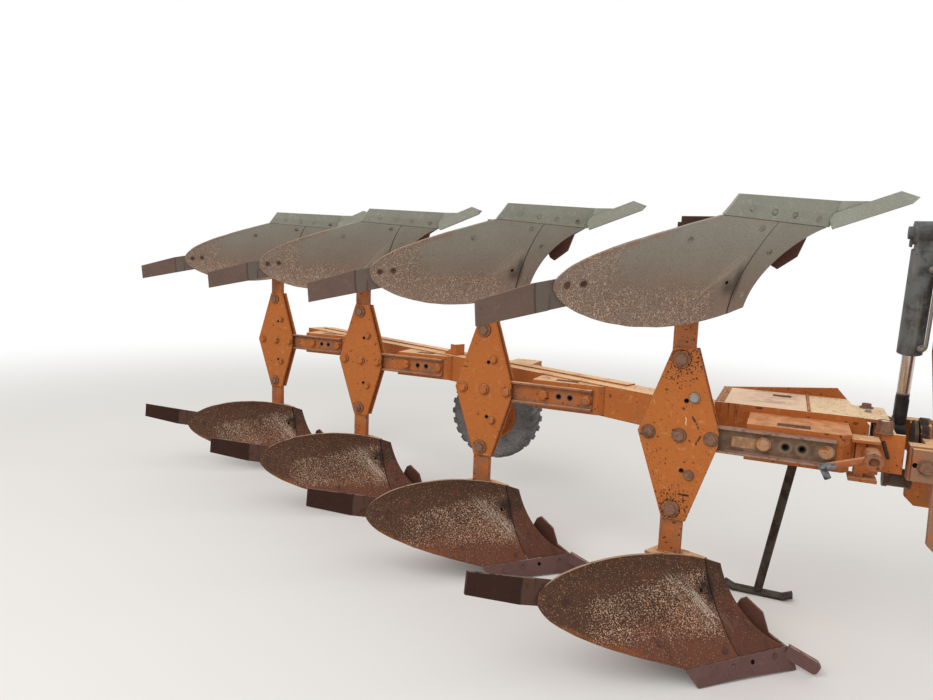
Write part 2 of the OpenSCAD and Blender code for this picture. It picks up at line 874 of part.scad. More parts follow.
module tails(side) {
    root_t = -508;
    end_pt = [-562, -597];
    color(dark_rust)
        for (i = STATIONS)
            at_body(i, side)
                let (
                    a = board_point(root_t, 338, board_t + tail_t + 2),
                    run = norm(end_pt - [a[0], a[1]]),
                    turn = atan2(end_pt[1] - a[1], end_pt[0] - a[0])
                )
                difference() {
                    translate([a[0], a[1], 0])
                        rotate([0, 0, turn])
                            across(0, tail_t)
                                polygon([
                                    [0, 284], [0, 380], [run, 446], [run + 6, 366], [run * 0.4, 308]
                                ]);
                    sheet(tail_clear_grid(2, 8), -40, board_t + seat_gap);
                }
}

// Region of the board that a tail extension must stay behind
function tail_clear_grid(nu, nv) = [
    for (i = [0:nu]) [for (j = [0:nv]) [mix(-575, -420, i / nu), mix(270, 420, j / nv)]]
];

module frogs(side) {
    cheek = 12;
    foot_h = 84;
    flange_h = 384;
    web_h0 = 60;
    web_h1 = 112;
    web_y1 = landside_y0 - seat_gap;
    color(orange)
        for (i = STATIONS)
            at_body(i, side)
                union() {
                    sheet(frog_rows, board_t + seat_gap, board_t + seat_gap + 10);
                    // Cheeks that clasp the leg and run forward to the face plate
                    for (y = [leg_y0 - cheek, leg_y1])
                        across(y, y + cheek)
                            polygon(concat(
                                [for (h = [foot_h:30:384]) [frog_x(y, h), h]],
                                [[-60, 384], [-60, foot_h]]
                            ));
                    translate([-60, leg_y0 - cheek, foot_h]) cube([150, web_y1 - leg_y0 + cheek, 16]);
                    translate([-60, web_y1 - 14, web_h0]) cube([300, 14, web_h1 - web_h0]);
                    // Flange round the leg at the frog's top
                    difference() {
                        translate([0, 0, flange_h])
                            linear_extrude(10)
                                polygon([
                                    [-92, -6], [-52, 76], [45, 74], [128, 42], [112, 22], [40, -40], [-20, -44]
                                ]);
                        translate([pivot_x - leg_w / 2 - 1, leg_y0, flange_h - 1]) cube([leg_w + 10, leg_t, 12]);
                    }
                }
}

// Forward end of a frog cheek: inside the face plate at height h
function frog_x(y, h) =
    (cos(board_angle) * y - section_n(h) - board_t - 7) / sin(board_angle);

// Landside along the furrow wall, with the fin that stands ahead of the shin
module landsides(side) {
    heel_x = -66;
    front_x = heel_x + landside_len;
    top = landside_rise + landside_h;
    color(dark_rust)
        for (i = STATIONS)
            at_body(i, side)
                across(landside_y0, landside_y0 + landside_t)
                    polygon([
                        [heel_x, landside_rise], [front_x - 150, landside_rise], [front_x - 20, 20],
                        [front_x + 98, 20], [front_x + 84, 70], [front_x, 118], [front_x - 6, 136],
                        [front_x - 26, 192], [front_x - 87, 238], [front_x - 108, 226],
                        [front_x - 132, top], [heel_x + 12, top], [heel_x, top - 12]
                    ]);
}

module wheel_bracket() {
    x0 = wheel_pivot_x - 70;
    x1 = wheel_pivot_x + 70;
    function far_face(x) = beam_off + beam_half_y - beam_slope * x;
    color(orange)
        at_station(0)
            union() {
                translate([0, 0, -beam_w / 2 + 10])
                    linear_extrude(beam_w - 20)
                        polygon([
                            [x0, far_face(x0) + seat_gap], [x1, far_face(x1) + seat_gap],
                            [x1, wheel_pivot_y - 60], [x0, wheel_pivot_y - 60]
                        ]);
                bar_y(wheel_pivot_x, 0, 100, wheel_pivot_y - 61, wheel_pivot_y - 6);
                bar_y(wheel_pivot_x, 0, 50, wheel_pivot_y - 7, wheel_pivot_y + 46);
            }
}

module wheel_arm() {
    arm_w = 26;
    color(orange)
        at_station(0)
            translate([wheel_pivot_x, 0, 0])
                rotate([0, -wheel_arm_angle, 0])
                    difference() {
                        union() {
                            translate([-wheel_arm_len, wheel_pivot_y, -40]) cube([wheel_arm_len, arm_w, 80]);
                            bar_y(0, 0, 96, wheel_pivot_y, wheel_pivot_y + arm_w);
                            bar_y(-wheel_arm_len, 0, 80, wheel_pivot_y, wheel_pivot_y + arm_w);
                            bar_y(-wheel_arm_len, 0, 40, wheel_pivot_y, wheel_y + hub_len / 2 + 8);
                        }
                        bar_y(0, 0, 50 + 2 * run_gap, wheel_pivot_y - 1, wheel_pivot_y + arm_w + 1);
                    }
}

wheel_x = wheel_pivot_x - wheel_arm_len * cos(wheel_arm_angle);
wheel_z = -wheel_arm_len * sin(wheel_arm_angle);

module wheel_rim() {
    color(pale_orange)
        at_station(0)
            difference() {
                union() {
                    bar_y(wheel_x, wheel_z, 90, wheel_y - hub_len / 2, wheel_y + hub_len / 2);
                    bar_y(wheel_x, wheel_z, rim_d - 20, wheel_y - 5, wheel_y + 5);
                    difference() {
                        bar_y(wheel_x, wheel_z, rim_d, wheel_y - 70, wheel_y + 70);
                        bar_y(wheel_x, wheel_z, rim_d - 24, wheel_y - 71, wheel_y + 71);
                    }
                }
                bar_y(wheel_x, wheel_z, 40 + 2 * run_gap, wheel_y - hub_len, wheel_y + hub_len);
            }
}

module tyre() {
    color(rubber)
        at_station(0)
            translate([wheel_x, wheel_y, wheel_z])
                rotate([90, 0, 0])
                    rotate_extrude()
                        polygon([
                            [rim_d / 2 + seat_gap, -70], [rim_d / 2 + 60, -tyre_w / 2],
                            [wheel_d / 2 - 50, -tyre_w / 2], [wheel_d / 2, -tyre_w / 2 + 30],
                            [wheel_d / 2, tyre_w / 2 - 30], [wheel_d / 2 - 50, tyre_w / 2],
                            [rim_d / 2 + 60, tyre_w / 2], [rim_d / 2 + seat_gap, 70]
                        ]);
}

module parking_stand() {
    eye_d = 62;
    d = stand_foot - stand_top;
    len = norm(d);
    tilt = acos(-d[2] / len);
    turn = atan2(-d[1], -d[0]);
    foot_half = 103;
    foot_w = 62;
    foot_t = 12;
    lip = [42, 19];
    color(worn_steel)
        at_station(0)
            difference() {
                union() {
                    translate(stand_foot)
                        rotate([0, 0, turn])
                            rotate([0, tilt, 0])
                                translate([0, 0, -5]) cylinder(d = stand_d, h = len + 5);
                    // Foot strip with its ends turned up
                    translate(stand_foot)
                        across(-foot_w / 2, foot_w / 2)
                            polygon([
                                [-foot_half - lip[0], lip[1] - foot_t], [-foot_half, -foot_t],
                                [foot_half, -foot_t], [foot_half + lip[0], lip[1] - foot_t],
                                [foot_half + lip[0] - 5, lip[1] - 1], [foot_half - 3, 0],
                                [-foot_half + 3, 0], [-foot_half - lip[0] + 5, lip[1] - 1]
                            ]);
                    translate(stand_top)
                        bar_y(0, 0, eye_d, -stand_eye_w / 2, stand_eye_w / 2);
                }
                translate(stand_top)
                    bar_y(0, 0, stand_pin_d + 2 * run_gap, -stand_eye_w, stand_eye_w);
            }
}

headstock();
mast();
lower_link_arms();
cylinder_barrel();
cylinder_rod();
turnover_shaft();
carriage();
front_frame();
width_adjuster();
crank_handle();
main_beam();
beam_brackets();
arm(0);  // arm_1
arm(1);  // arm_2
arm(2);  // arm_3
arm(3);  // arm_4
leg_plates(0);  // leg_plates_1
leg_plates(1);  // leg_plates_2
leg_plates(2);  // leg_plates_3
leg_plates(3);  // leg_plates_4
legs(LOWER);  // legs_lower
legs(UPPER);  // legs_upper
frogs(LOWER);  // frogs_lower
frogs(UPPER);  // frogs_upper
mouldboard(0, LOWER);  // mouldboard_lower_1
mouldboard(1, LOWER);  // mouldboard_lower_2
mouldboard(2, LOWER);  // mouldboard_lower_3
mouldboard(3, LOWER);  // mouldboard_lower_4
mouldboard(0, UPPER);  // mouldboard_upper_1
mouldboard(1, UPPER);  // mouldboard_upper_2
mouldboard(2, UPPER);  // mouldboard_upper_3
mouldboard(3, UPPER);  // mouldboard_upper_4
shins(LOWER);  // shins_lower
shins(UPPER);  // shins_upper
shares(LOWER);  // shares_lower
shares(UPPER);  // shares_upper
points(LOWER);  // points_lower
points(UPPER);  // points_upper
tails(LOWER);  // tails_lower
tails(UPPER);  // tails_upper
landsides(LOWER);  // landsides_lower
landsides(UPPER);  // landsides_upper
wheel_bracket();
wheel_arm();
wheel_rim();
tyre();
parking_stand();
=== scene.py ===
"""Mounted reversible mouldboard plough: boards, fittings, welds, tyre, weathered paint and rust.

Everything is in metres in the plough's frame: +X forward, +Y left, +Z up, its origin midway between the
hitch pins.
"""

import math

import bmesh
import bpy
import numpy as np
from mathutils import Matrix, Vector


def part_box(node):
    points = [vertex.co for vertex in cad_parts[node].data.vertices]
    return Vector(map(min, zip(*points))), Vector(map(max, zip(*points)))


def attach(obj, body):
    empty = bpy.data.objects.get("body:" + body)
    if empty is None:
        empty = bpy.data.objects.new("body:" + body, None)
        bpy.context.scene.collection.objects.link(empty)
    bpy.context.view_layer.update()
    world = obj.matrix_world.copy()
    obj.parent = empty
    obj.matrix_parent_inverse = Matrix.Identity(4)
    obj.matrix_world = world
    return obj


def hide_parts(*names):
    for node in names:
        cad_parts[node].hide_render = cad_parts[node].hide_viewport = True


bl_info = {
    "name": "Reversible Plough",
    "version": (1, 0, 0),
    "blender": (4, 5, 0),
    "location": "View3D > Sidebar > Plough",
    "description": "Weathered finish, boards, bolts, welds and tyre for a mounted reversible plough",
    "category": "Object",
}

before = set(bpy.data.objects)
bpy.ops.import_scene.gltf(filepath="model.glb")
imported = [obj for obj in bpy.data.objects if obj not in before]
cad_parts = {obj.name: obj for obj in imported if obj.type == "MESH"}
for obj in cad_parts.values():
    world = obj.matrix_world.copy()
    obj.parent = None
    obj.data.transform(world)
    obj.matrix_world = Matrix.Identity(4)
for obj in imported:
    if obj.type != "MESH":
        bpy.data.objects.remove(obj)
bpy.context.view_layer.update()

STATIONS = (0, 1, 2, 3)
LOWER, UPPER = "lower", "upper"

# Layout of the plough, as the solids have it, in metres
AXIS_H = 0.28
BODY_PITCH = 0.95
FURROW_W = 0.40
FIRST_BACK = 1.0
FIRST_RIGHT = 0.42
BODY_REACH = 0.85
PLATE_T = 0.012
LEG_T = 0.030
PACK_T = 2 * PLATE_T + LEG_T

# Where the legs end above the sole, and the main beam's slope, middle and half width
LEG_FOOT = 0.394
BEAM_SLOPE = 0.42105
BEAM_Y = 0.369
BEAM_HALF = 0.0762

# Holes of the leg plates, forward and up from the plate's middle
PIVOT = (-0.011, 0.280)
SHEAR = (0.044, 0.144)
SPARE = (0.017, 0.130)
ROW_PITCH = 0.111

# Along the arms and brackets, forward of the plate's middle
ARM_BOLTS = (0.283, 0.483)
ARM_HOLES = (0.354, 0.407)
ARM_FACE = PLATE_T + LEG_T - 0.0083
BRACKET_X = (0.222, 0.556)

# Middles of the slots of a bracket and of the deck, forward and left of the plate's middle
BRACKET_SLOT = (0.375, 0.096, 0)
DECK_SLOT = (0.325, 0.560, 0)

# Bolts and holes of a body, along and above the sole on the board's face
TAIL_BOLTS = ((-0.521, 0.312), (-0.464, 0.306))
SEAM_HOLE = (0.078, 0.290)
BOARD_BOLT = (-0.138, 0.153)
LOST_BOLT = (0.228, 0.058)
SHARE_BOLTS = ((0.052, 0.044), (0.144, 0.053), (0.331, 0.065))
SHIN_BOLTS = ((0.150, 0.330), (0.190, 0.180), (0.118, 0.105))

# Gap between board and shin, and rounding of the sheets' edges
SEAM_GAP = 0.0042
SHEET_EDGE = 0.0012

# A point this far inside the board, and how far from it the tail extensions' roots end
ROOT_FAR = 0.50
ROOT_REACH = ROOT_FAR + 0.060

# Turnover cylinder: its upper pin, its foot and the direction down it
CYLINDER_TOP = (-0.25, 0.0, AXIS_H + 0.76)
CYLINDER_FOOT = (-0.25, 0.16, AXIS_H)
CYLINDER_RUN = (0.0, 0.206, -0.979)

# Level of the soles, and the floor's middle along travel
SOLE_H = -0.57
FLOOR_X = -2.0


def srgb(red, green, blue):
    """Scene-linear colour of an 8-bit display colour: ((c/255 + 0.055) / 1.055) to the power 2.4."""
    return tuple(((c / 255 + 0.055) / 1.055) ** 2.4 for c in (red, green, blue))


# Near black: soot and grease, and painted shade in and round holes and slots
SOOT_AND_SHADE = srgb(30, 26, 24)
SOIL = srgb(124, 97, 81)
PALE_RIM = srgb(184, 156, 130)


# Sizes and colours that a user may change


def colour_setting(name, description, *display):
    """A colour, its default given in 8-bit display numbers."""
    return bpy.props.FloatVectorProperty(
        name=name, description=description, size=3, subtype="COLOR", min=0, max=1, default=srgb(*display),
    )


def length_setting(name, description, metres, most=0.1):
    """A length, its default given in metres."""
    return bpy.props.FloatProperty(
        name=name, description=description, min=0, max=most, default=metres, unit="LENGTH",
    )


def share_setting(name, description, default):
    """A number from 0 to 1."""
    return bpy.props.FloatProperty(
        name=name, description=description, min=0, max=1, default=default, subtype="FACTOR",
    )


def angle_setting(name, description, degrees):
    """An angle, its default given in degrees."""
    return bpy.props.FloatProperty(
        name=name, description=description, subtype="ANGLE", default=math.radians(degrees),
    )


class PloughPaint(bpy.types.PropertyGroup):
    """Colours of the paint, rust, rubber and bare metal."""

    orange: colour_setting("Orange", "Paint on the sides of the plough", 177, 100, 42)
    # Sun-faded paint, drawn paler also as painted sky light on faces that look up
    faded_and_sky_lit: colour_setting("Faded orange", "Paint on faces that the sun reaches", 236, 194, 146)
    deep: colour_setting("Deep orange", "Paint in the shade and in corners", 160, 82, 38)
    chip: colour_setting("Chip", "Old dark steel under chipped paint", 58, 40, 32)
    rust: colour_setting("Red rust", "Rust on the lower part of the boards", 112, 70, 54)
    brown: colour_setting("Brown rust", "Rust on the upper part of the boards", 86, 60, 46)
    speckle: colour_setting("Soil specks", "Dry soil specks on the boards", 214, 188, 162)
    share: colour_setting("Share brown", "Smooth rust on shares, points and tail extensions", 104, 76, 72)
    bare: colour_setting("Bare steel", "Worn bare steel", 120, 100, 80)
    bolt: colour_setting("Bolt rust", "Rust on bolt heads and washers", 134, 98, 78)
    rubber: colour_setting("Rubber", "Rubber of the depth wheel", 84, 84, 86)
    dust: colour_setting("Dust", "Dry dust on rubber and on level faces", 148, 146, 144)
    cylinder: colour_setting("Cylinder grey", "Paint of the turnover cylinder", 100, 103, 102)
    chrome: colour_setting("Rod chrome", "Hard chrome of the cylinder rod", 206, 202, 196)


class PloughWear(bpy.types.PropertyGroup):
    """How worn the finish is."""

    chips: share_setting("Chips", "Share of the paint that is chipped", 0.5)
    edge_wear: length_setting("Edge wear", "Width of the worn paint along edges", 0.0035, 0.02)
    specks: share_setting("Specks", "Amount of soil specks on the boards", 0.6)
    dents: length_setting("Dents", "Depth of the waves in the boards", 0.0012, 0.004)


class PloughFittings(bpy.types.PropertyGroup):
    """Sizes of bolts, welds and tyre lugs."""

    pivot_flats: length_setting("Pivot bolt", "Across the flats of the pivot bolts", 0.037)
    pivot_washer: length_setting("Pivot washer", "Diameter of the pivot washers", 0.057)
    row_flats: length_setting("Clamp bolt", "Across the flats of the clamp bolts", 0.033)
    row_washer: length_setting("Clamp washer", "Diameter of the clamp bolts' washers", 0.0505)
    shear_flats: length_setting("Shear bolt", "Across the flats of the shear bolts", 0.027)
    share_bolt: length_setting("Share bolt", "Diameter of the countersunk share bolts", 0.024)
    weld: length_setting("Weld", "Half width of the weld beads", 0.006)
    lugs: bpy.props.IntProperty(
        name="Lugs", description="Tyre lugs on each shoulder", min=8, max=48, default=26,
    )
    lug_depth: length_setting("Lug depth", "Height of the tyre lugs", 0.014)


class PloughView(bpy.types.PropertyGroup):
    """Camera and lamps."""

    place: bpy.props.FloatVectorProperty(
        name="Camera place", description="Where the camera stands", size=3, subtype="TRANSLATION",
        default=(-0.6563, -3.0423, 0.9069), unit="LENGTH",
    )
    yaw: angle_setting("Yaw", "Turn of the view to the left of +Y", 24.733)
    pitch: angle_setting("Pitch", "Dip of the view", 7.689)
    roll: angle_setting("Roll", "Roll of the camera", -2.025)
    lens: bpy.props.FloatProperty(
        name="Lens", description="Focal length on a 36 mm wide sensor, in millimetres", unit="CAMERA",
        default=27.389,
    )
    sky: bpy.props.FloatProperty(
        name="Sky", description="Strength of the even light", min=0, default=0.72,
    )
    key: bpy.props.FloatProperty(
        name="Key", description="Power of the large lamp", min=0, default=330, unit="POWER",
    )


# Shader expressions


class Value:
    """One socket in a shader expression; arithmetic on it adds Math nodes."""

    def __init__(self, shader, socket):
        self.shader, self.socket = shader, socket

    def _math(self, operation, other, reflected=False):
        pair = [other, self] if reflected else [self, other]
        return self.shader.node("Math", {"operation": operation}, pair)

    def __add__(self, other):
        return self._math("ADD", other)

    __radd__ = __add__

    def __sub__(self, other):
        return self._math("SUBTRACT", other)

    def __rsub__(self, other):
        return self._math("SUBTRACT", other, True)

    def __mul__(self, other):
        return self._math("MULTIPLY", other)

    __rmul__ = __mul__

    def __truediv__(self, other):
        return self._math("DIVIDE", other)

    def __rtruediv__(self, other):
        return self._math("DIVIDE", other, True)

    def __abs__(self):
        return self.shader.node("Math", {"operation": "ABSOLUTE"}, [self])

    def most(self, other):
        """The larger of two."""
        return self._math("MAXIMUM", other)

    def least(self, other):
        """The smaller of two."""
        return self._math("MINIMUM", other)

    def step(self, low, high):
        """0 below low, 1 above high and a smooth step between; low above high turns it round."""
        turned = low > high
        ends = [self, min(low, high), max(low, high)]
        made = self.shader.node("MapRange", {"interpolation_type": "SMOOTHSTEP"}, ends)
        return 1 - made if turned else made


class Shader:
    """Node tree of one material or world, built by expressions."""

    def __init__(self, owner):
        owner.use_nodes = True
        self.owner = owner
        self.tree = owner.node_tree
        self.tree.nodes.clear()

    @classmethod
    def material(cls, name):
        """A new material's tree, with the Object coordinates and the normal at hand."""
        shader = cls(bpy.data.materials.new(name))
        shader.coords = shader.node("TexCoord", out="Object")
        shader.facing = shader.node("TexCoord", out="Normal")
        return shader

    def node(self, kind, settings=None, inputs=(), out=0):
        """Adds the node of that kind with its settings, and fills its sockets with values or links."""
        made = self.tree.nodes.new("ShaderNode" + kind)
        for key, setting in (settings or {}).items():
            setattr(made, key, setting)
        places = inputs.items() if isinstance(inputs, dict) else enumerate(inputs)
        for place, value in places:
            if isinstance(value, Value):
                self.tree.links.new(value.socket, made.inputs[place])
            elif value is not None:
                made.inputs[place].default_value = value
        return Value(self, made.outputs[out]) if len(made.outputs) else made

    def vector(self, operation, first, second):
        """One Vector Math node."""
        return self.node("VectorMath", {"operation": operation}, [first, second])

    def dot(self, first, second):
        """How far one vector reaches along another."""
        return self.node("VectorMath", {"operation": "DOT_PRODUCT"}, [first, second], "Value")

    def strokes(self, along, across, long, fine, detail=2.0):
        """Drawn-out noise: it varies long times a metre along one direction and fine times across it."""
        run, side = self.dot(self.coords, along), self.dot(self.coords, across)
        flat = self.node("CombineXYZ", None, [run * long, side * fine, 0.0])
        return self.noise(1.0, detail, 0.5, flat)

    def axes(self, of=None):
        """The three numbers of a vector, by default of the Object coordinates."""
        split = self.tree.nodes.new("ShaderNodeSeparateXYZ")
        self.tree.links.new((of or self.coords).socket, split.inputs[0])
        return [Value(self, socket) for socket in split.outputs]

    def noise(self, scale, detail=3.0, rough=0.55, on=None):
        """Noise between 0 and 1 over the Object coordinates, that many waves a metre."""
        sockets = {"Vector": on or self.coords, "Scale": scale, "Detail": detail, "Roughness": rough}
        return self.node("TexNoise", None, sockets)

    def level(self, low, high):
        """1 on faces that look up."""
        return self.axes(self.facing)[2].step(low, high)

    def nearest(self, points, flat=False):
        """Distance to the nearest of the points; flat leaves y out."""
        keep = (1, 0, 1) if flat else (1, 1, 1)
        place = self.vector("MULTIPLY", self.coords, keep)
        best = None
        for point in points:
            shift = self.vector("SUBTRACT", place, tuple(float(p) * k for p, k in zip(point, keep)))
            away = self.node("VectorMath", {"operation": "LENGTH"}, [shift], "Value")
            best = away if best is None else best.least(away)
        return best

    def mark(self, name):
        """A number that the mesh stores at each point."""
        return self.node("Attribute", {"attribute_name": name}, out="Fac")

    def mix(self, first, second, share):
        """first where share is 0 and second where it is 1."""
        ends = [c if isinstance(c, Value) else (*c, 1.0) for c in (first, second)]
        return self.node("Mix", {"data_type": "RGBA"}, {0: share, 6: ends[0], 7: ends[1]}, 2)

    def lay(self, coat, share):
        """Lays a coat over the surface's colour where share is 1."""
        self.colour = self.mix(self.colour, coat, share)

    def edges(self, radius):
        """1 near sharp edges and 0 on flat faces, and the normal rounded over that radius."""
        rounded = self.node("Bevel", {"samples": 6}, [radius])
        true = self.node("NewGeometry", out="True Normal")
        return (1 - self.dot(rounded, true)).step(0.02, 0.22), rounded

    def finish(self, rough, metal=0.0, height=None, depth=0.0008, normal=None, gloss=0.5):
        """Ends the tree in one surface: roughness, metal share, bump of that depth and gloss."""
        if height is not None:
            sockets = {"Strength": 1.0, "Distance": depth, "Height": height, "Normal": normal}
            normal = self.node("Bump", None, sockets)
        sockets = {
            "Base Color": self.colour, "Roughness": rough, "Metallic": metal, "Specular IOR Level": gloss,
            "Normal": normal,
        }
        self.node("OutputMaterial", None, [self.node("BsdfPrincipled", None, sockets)])
        return self.owner


# Surfaces


def place_of(station):
    """Middle of a station's near leg plate on the turnover axis."""
    return np.array([-FIRST_BACK - station * BODY_PITCH, -FIRST_RIGHT + station * FURROW_W, AXIS_H])


def at_station(station, points):
    """Places forward, left and up from the middle of a station's near leg plate."""
    return np.asarray(points, float) + place_of(station)


def at_body(station, side, points):
    """Body coordinates, heights from the sole up, to the plough's frame; the upper row is mirrored."""
    moved = np.array(points, float)
    moved[..., 2] = (moved[..., 2] - BODY_REACH) * (1 if side == LOWER else -1)
    return moved + place_of(station)


BOARD_ANGLE = math.radians(42.8)
BOARD_TWIST = math.radians(-3.6)
BOARD_LEAD, BOARD_DEPTH = 0.076, 0.156
BOARD_LOW, BOARD_SPAN = -0.014, 0.400
REFERENCE_H, GUIDE_T = 0.200, 0.100
BOARD_T = 0.008


def board_point(t, h, d=0.0):
    """Cylindroid of the mouldboard.

    A level line at height h stands n(h) = -lead - depth/2 (1 + cos(pi (h - low)/span)) in front of the leg's
    plane and is turned by angle + twist (h - reference); t runs along it and d goes back along the normal.
    """
    wave = math.pi * (h - BOARD_LOW) / BOARD_SPAN
    n = -BOARD_LEAD - BOARD_DEPTH / 2 * (1 + np.cos(wave))
    k = BOARD_DEPTH / 2 * np.sin(wave) * math.pi / BOARD_SPAN
    tilt = np.sqrt(1 + k * k)
    a = BOARD_ANGLE + BOARD_TWIST * (h - REFERENCE_H)
    u = t - GUIDE_T
    x = GUIDE_T * math.cos(BOARD_ANGLE) - n * math.sin(BOARD_ANGLE) + u * np.cos(a) - d / tilt * np.sin(a)
    y = GUIDE_T * math.sin(BOARD_ANGLE) + n * math.cos(BOARD_ANGLE) + u * np.sin(a) + d / tilt * np.cos(a)
    return np.stack([x, y, h - d * k / tilt + 0 * t], axis=-1)


def bezier(corners, s):
    """Cubic curve through the first and last corner, s from 0 to 1."""
    s = np.asarray(s, float)[..., None]
    p = np.asarray(corners, float)
    return (1 - s) ** 3 * p[0] + 3 * s * (1 - s) ** 2 * p[1] + 3 * s * s * (1 - s) * p[2] + s**3 * p[3]


TIP = (-0.566, 0.318)
WING = (-0.050, 0.070)
SEAM_FOOT = (0.172, 0.0804)
NOSE = (0.378, 0.090)
SEAM_TOP = (0.098, 0.399)
FOOT_CURVE = (TIP, (-0.576, 0.238), (-0.352, 0.160), WING)
TOP_CURVE = (TIP, (-0.557, 0.403), (-0.252, 0.509), SEAM_TOP)
SEAM_CURVE = (SEAM_TOP, (0.121, 0.307), (0.114, 0.177), SEAM_FOOT)
SHIN_CURVE = ((0.169, 0.375), (0.196, 0.275), (0.227, 0.153), NOSE)


def ripple(s, seed, waves=7):
    """Uneven line: a sum of sines with random phases, between about -1 and 1."""
    rng = np.random.default_rng(seed)
    total = 0 * s
    for k in range(1, waves + 1):
        total = total + np.sin(2 * math.pi * (k * 1.7 * s + rng.random())) / k
    return total / 2.2


def board_outline(u, v, wobble):
    """Place (t, h) on the board: lower edge mixed with upper edge by v, bowed onto the seam at u = 1."""
    s = 0.03 + 0.97 * u
    turn, worn = 0.78, 0.0022
    low = np.where(
        (s < turn)[..., None],
        bezier(FOOT_CURVE, np.minimum(s / turn, 1)),
        np.array(WING) + (np.array(SEAM_FOOT) - WING) * np.clip((s - turn) / (1 - turn), 0, 1)[..., None],
    ) + np.array([0, 0.0015])
    top = bezier(TOP_CURVE, s)
    low[..., 1] += np.abs(ripple(s, wobble)) * worn * np.clip((0.74 - s) * 8, 0, 1)
    top[..., 1] -= np.abs(ripple(s, wobble + 1)) * worn * np.clip((0.96 - s) * 8, 0, 1)
    bow = bezier(SEAM_CURVE, 1 - v) - (np.array(SEAM_FOOT) + (np.array(SEAM_TOP) - SEAM_FOOT) * v[..., None])
    return low + (top - low) * v[..., None] + (s**3)[..., None] * bow


def grid(columns, rows):
    """Parameters u and v, each from 0 to 1."""
    return np.meshgrid(np.linspace(0, 1, columns), np.linspace(0, 1, rows), indexing="ij")


def bump_at(t, h, centre, radius):
    """Round hollow of height 1 that falls to 0 at the radius."""
    r = np.hypot(t - centre[0], h - centre[1]) / radius
    return np.clip(1 - r * r, 0, 1) ** 2


def smooth(x, low, high):
    """Smooth step from low to high, or falling where low is above high."""
    x = np.clip((x - low) / (high - low), 0, 1)
    return x * x * (3 - 2 * x)


def slab(front, back):
    """Closed shell of two grids (rows, columns, 3) and the strips that join their rims."""
    rows, columns = front.shape[:2]
    count = rows * columns
    index = np.arange(count).reshape(rows, columns)
    quads = np.stack([index[:-1, :-1], index[:-1, 1:], index[1:, 1:], index[1:, :-1]], -1).reshape(-1, 4)
    rim = np.concatenate([index[0, :-1], index[:-1, -1], index[-1, :0:-1], index[:0:-1, 0]])
    ahead = np.roll(rim, -1)
    strip = np.stack([rim, rim + count, ahead + count, ahead], -1)
    verts = np.concatenate([front.reshape(-1, 3), back.reshape(-1, 3)])
    return verts, np.concatenate([quads, quads[:, ::-1] + count, strip])


def tube(rings, closed=False):
    """Skin of a grid (rings, points round, 3); closed joins its last ring to its first."""
    rows, around = rings.shape[:2]
    index = np.arange(rows * around).reshape(rows, around)
    here = index if closed else index[:-1]
    after = np.roll(index, -1, 0) if closed else index[1:]
    quads = np.stack([here, np.roll(here, -1, 1), np.roll(after, -1, 1), after], -1).reshape(-1, 4)
    return rings.reshape(-1, 3), quads


def turned(profile, sides=6, around=24):
    """Turned piece whose rows (radius, rise) are carried round an axis.

    A third number f cuts the radius to flats: r = min(r, f / cos(a)), a measured from the flat's middle.
    """
    rows = np.array([(*row, 0)[:3] for row in profile], float)
    u = np.arange(around) * 2 * math.pi / around
    sector = 2 * math.pi / sides
    off = (u + sector / 2) % sector - sector / 2
    radius, rise = (np.repeat(rows[:, k:k + 1], around, 1) for k in (0, 1))
    flats = rows[:, 2:3]
    radius = np.where(flats > 0, np.minimum(radius, flats / np.cos(off)), radius)
    return np.stack([radius * np.cos(u), radius * np.sin(u), rise], -1)


def hex_profile(flats, washer, washer_t, height, stud=0.0, stud_h=0.0):
    """Rows of a hexagon head or nut on its washer, with the bolt's end standing out of it."""
    f, r, top = flats / 2, washer / 2, washer_t + height
    corner = f / math.cos(math.pi / 6)
    rows = [
        (0, 0), (r, 0), (r, washer_t * 0.75), (r - 0.001, washer_t), (corner, washer_t, f),
        (corner, washer_t + height * 0.86, f), (f * 0.99, top, f * 0.99), (f * 0.86, top),
    ]
    if stud:
        r, end, chamfer = stud / 2, top + stud_h, 0.002
        return rows + [(r, top), (r, end - chamfer), (r - chamfer, end), (0, end)]
    dish = washer_t + height * 0.97
    return rows + [(f * 0.5, dish), (0, dish)]


def countersunk_profile(diameter):
    """Rows of a worn countersunk head: a low rim round a shallow dish."""
    r = diameter / 2
    return [
        (0, -0.003), (r, -0.003), (r, 0.0002), (r * 0.93, 0.0010), (r * 0.80, 0.0011), (r * 0.70, 0.0004),
        (r * 0.30, 0.0002), (0, 0.0003),
    ]


def frames(axis, spin=0.0):
    """Two directions across an axis, turned about it by spin."""
    axis = np.asarray(axis, float) / np.linalg.norm(axis)
    helper = np.array([0, 0, 1.0]) if abs(axis[2]) < 0.9 else np.array([1.0, 0, 0])
    across = np.cross(helper, axis)
    across /= np.linalg.norm(across)
    up = np.cross(axis, across)
    return (
        across * math.cos(spin) + up * math.sin(spin), up * math.cos(spin) - across * math.sin(spin), axis,
    )


def set_pieces(profile, places, sides=6, around=24, seed=1):
    """The turned piece at every (point, axis), each turned by its own random angle."""
    rng = np.random.default_rng(seed)
    rings = turned(profile, sides, around)
    parts = []
    x, y, rise = rings[..., :1], rings[..., 1:2], rings[..., 2:]
    for point, axis in places:
        across, up, along = frames(axis, rng.random() * 2 * math.pi)
        parts.append(tube(np.asarray(point) + x * across + y * up + rise * along))
    return joined(parts)


def sheet(station, side, t, h, dent):
    """Front of a sheet, pressed back by dent, and its back at the board's thickness."""
    front, back = board_point(t, h, dent), board_point(t, h, BOARD_T)
    return slab(at_body(station, side, front), at_body(station, side, back))


def both_faces(marks):
    """The same marks on the front and the back of a sheet."""
    return {k: np.r_[m.ravel(), m.ravel()] for k, m in marks.items()}


def joined(parts):
    """Several (verts, faces) as one."""
    verts, faces, start = [], [], 0
    for v, f in parts:
        verts.append(v)
        faces.append(f + start)
        start += len(v)
    return np.concatenate(verts), np.concatenate(faces)


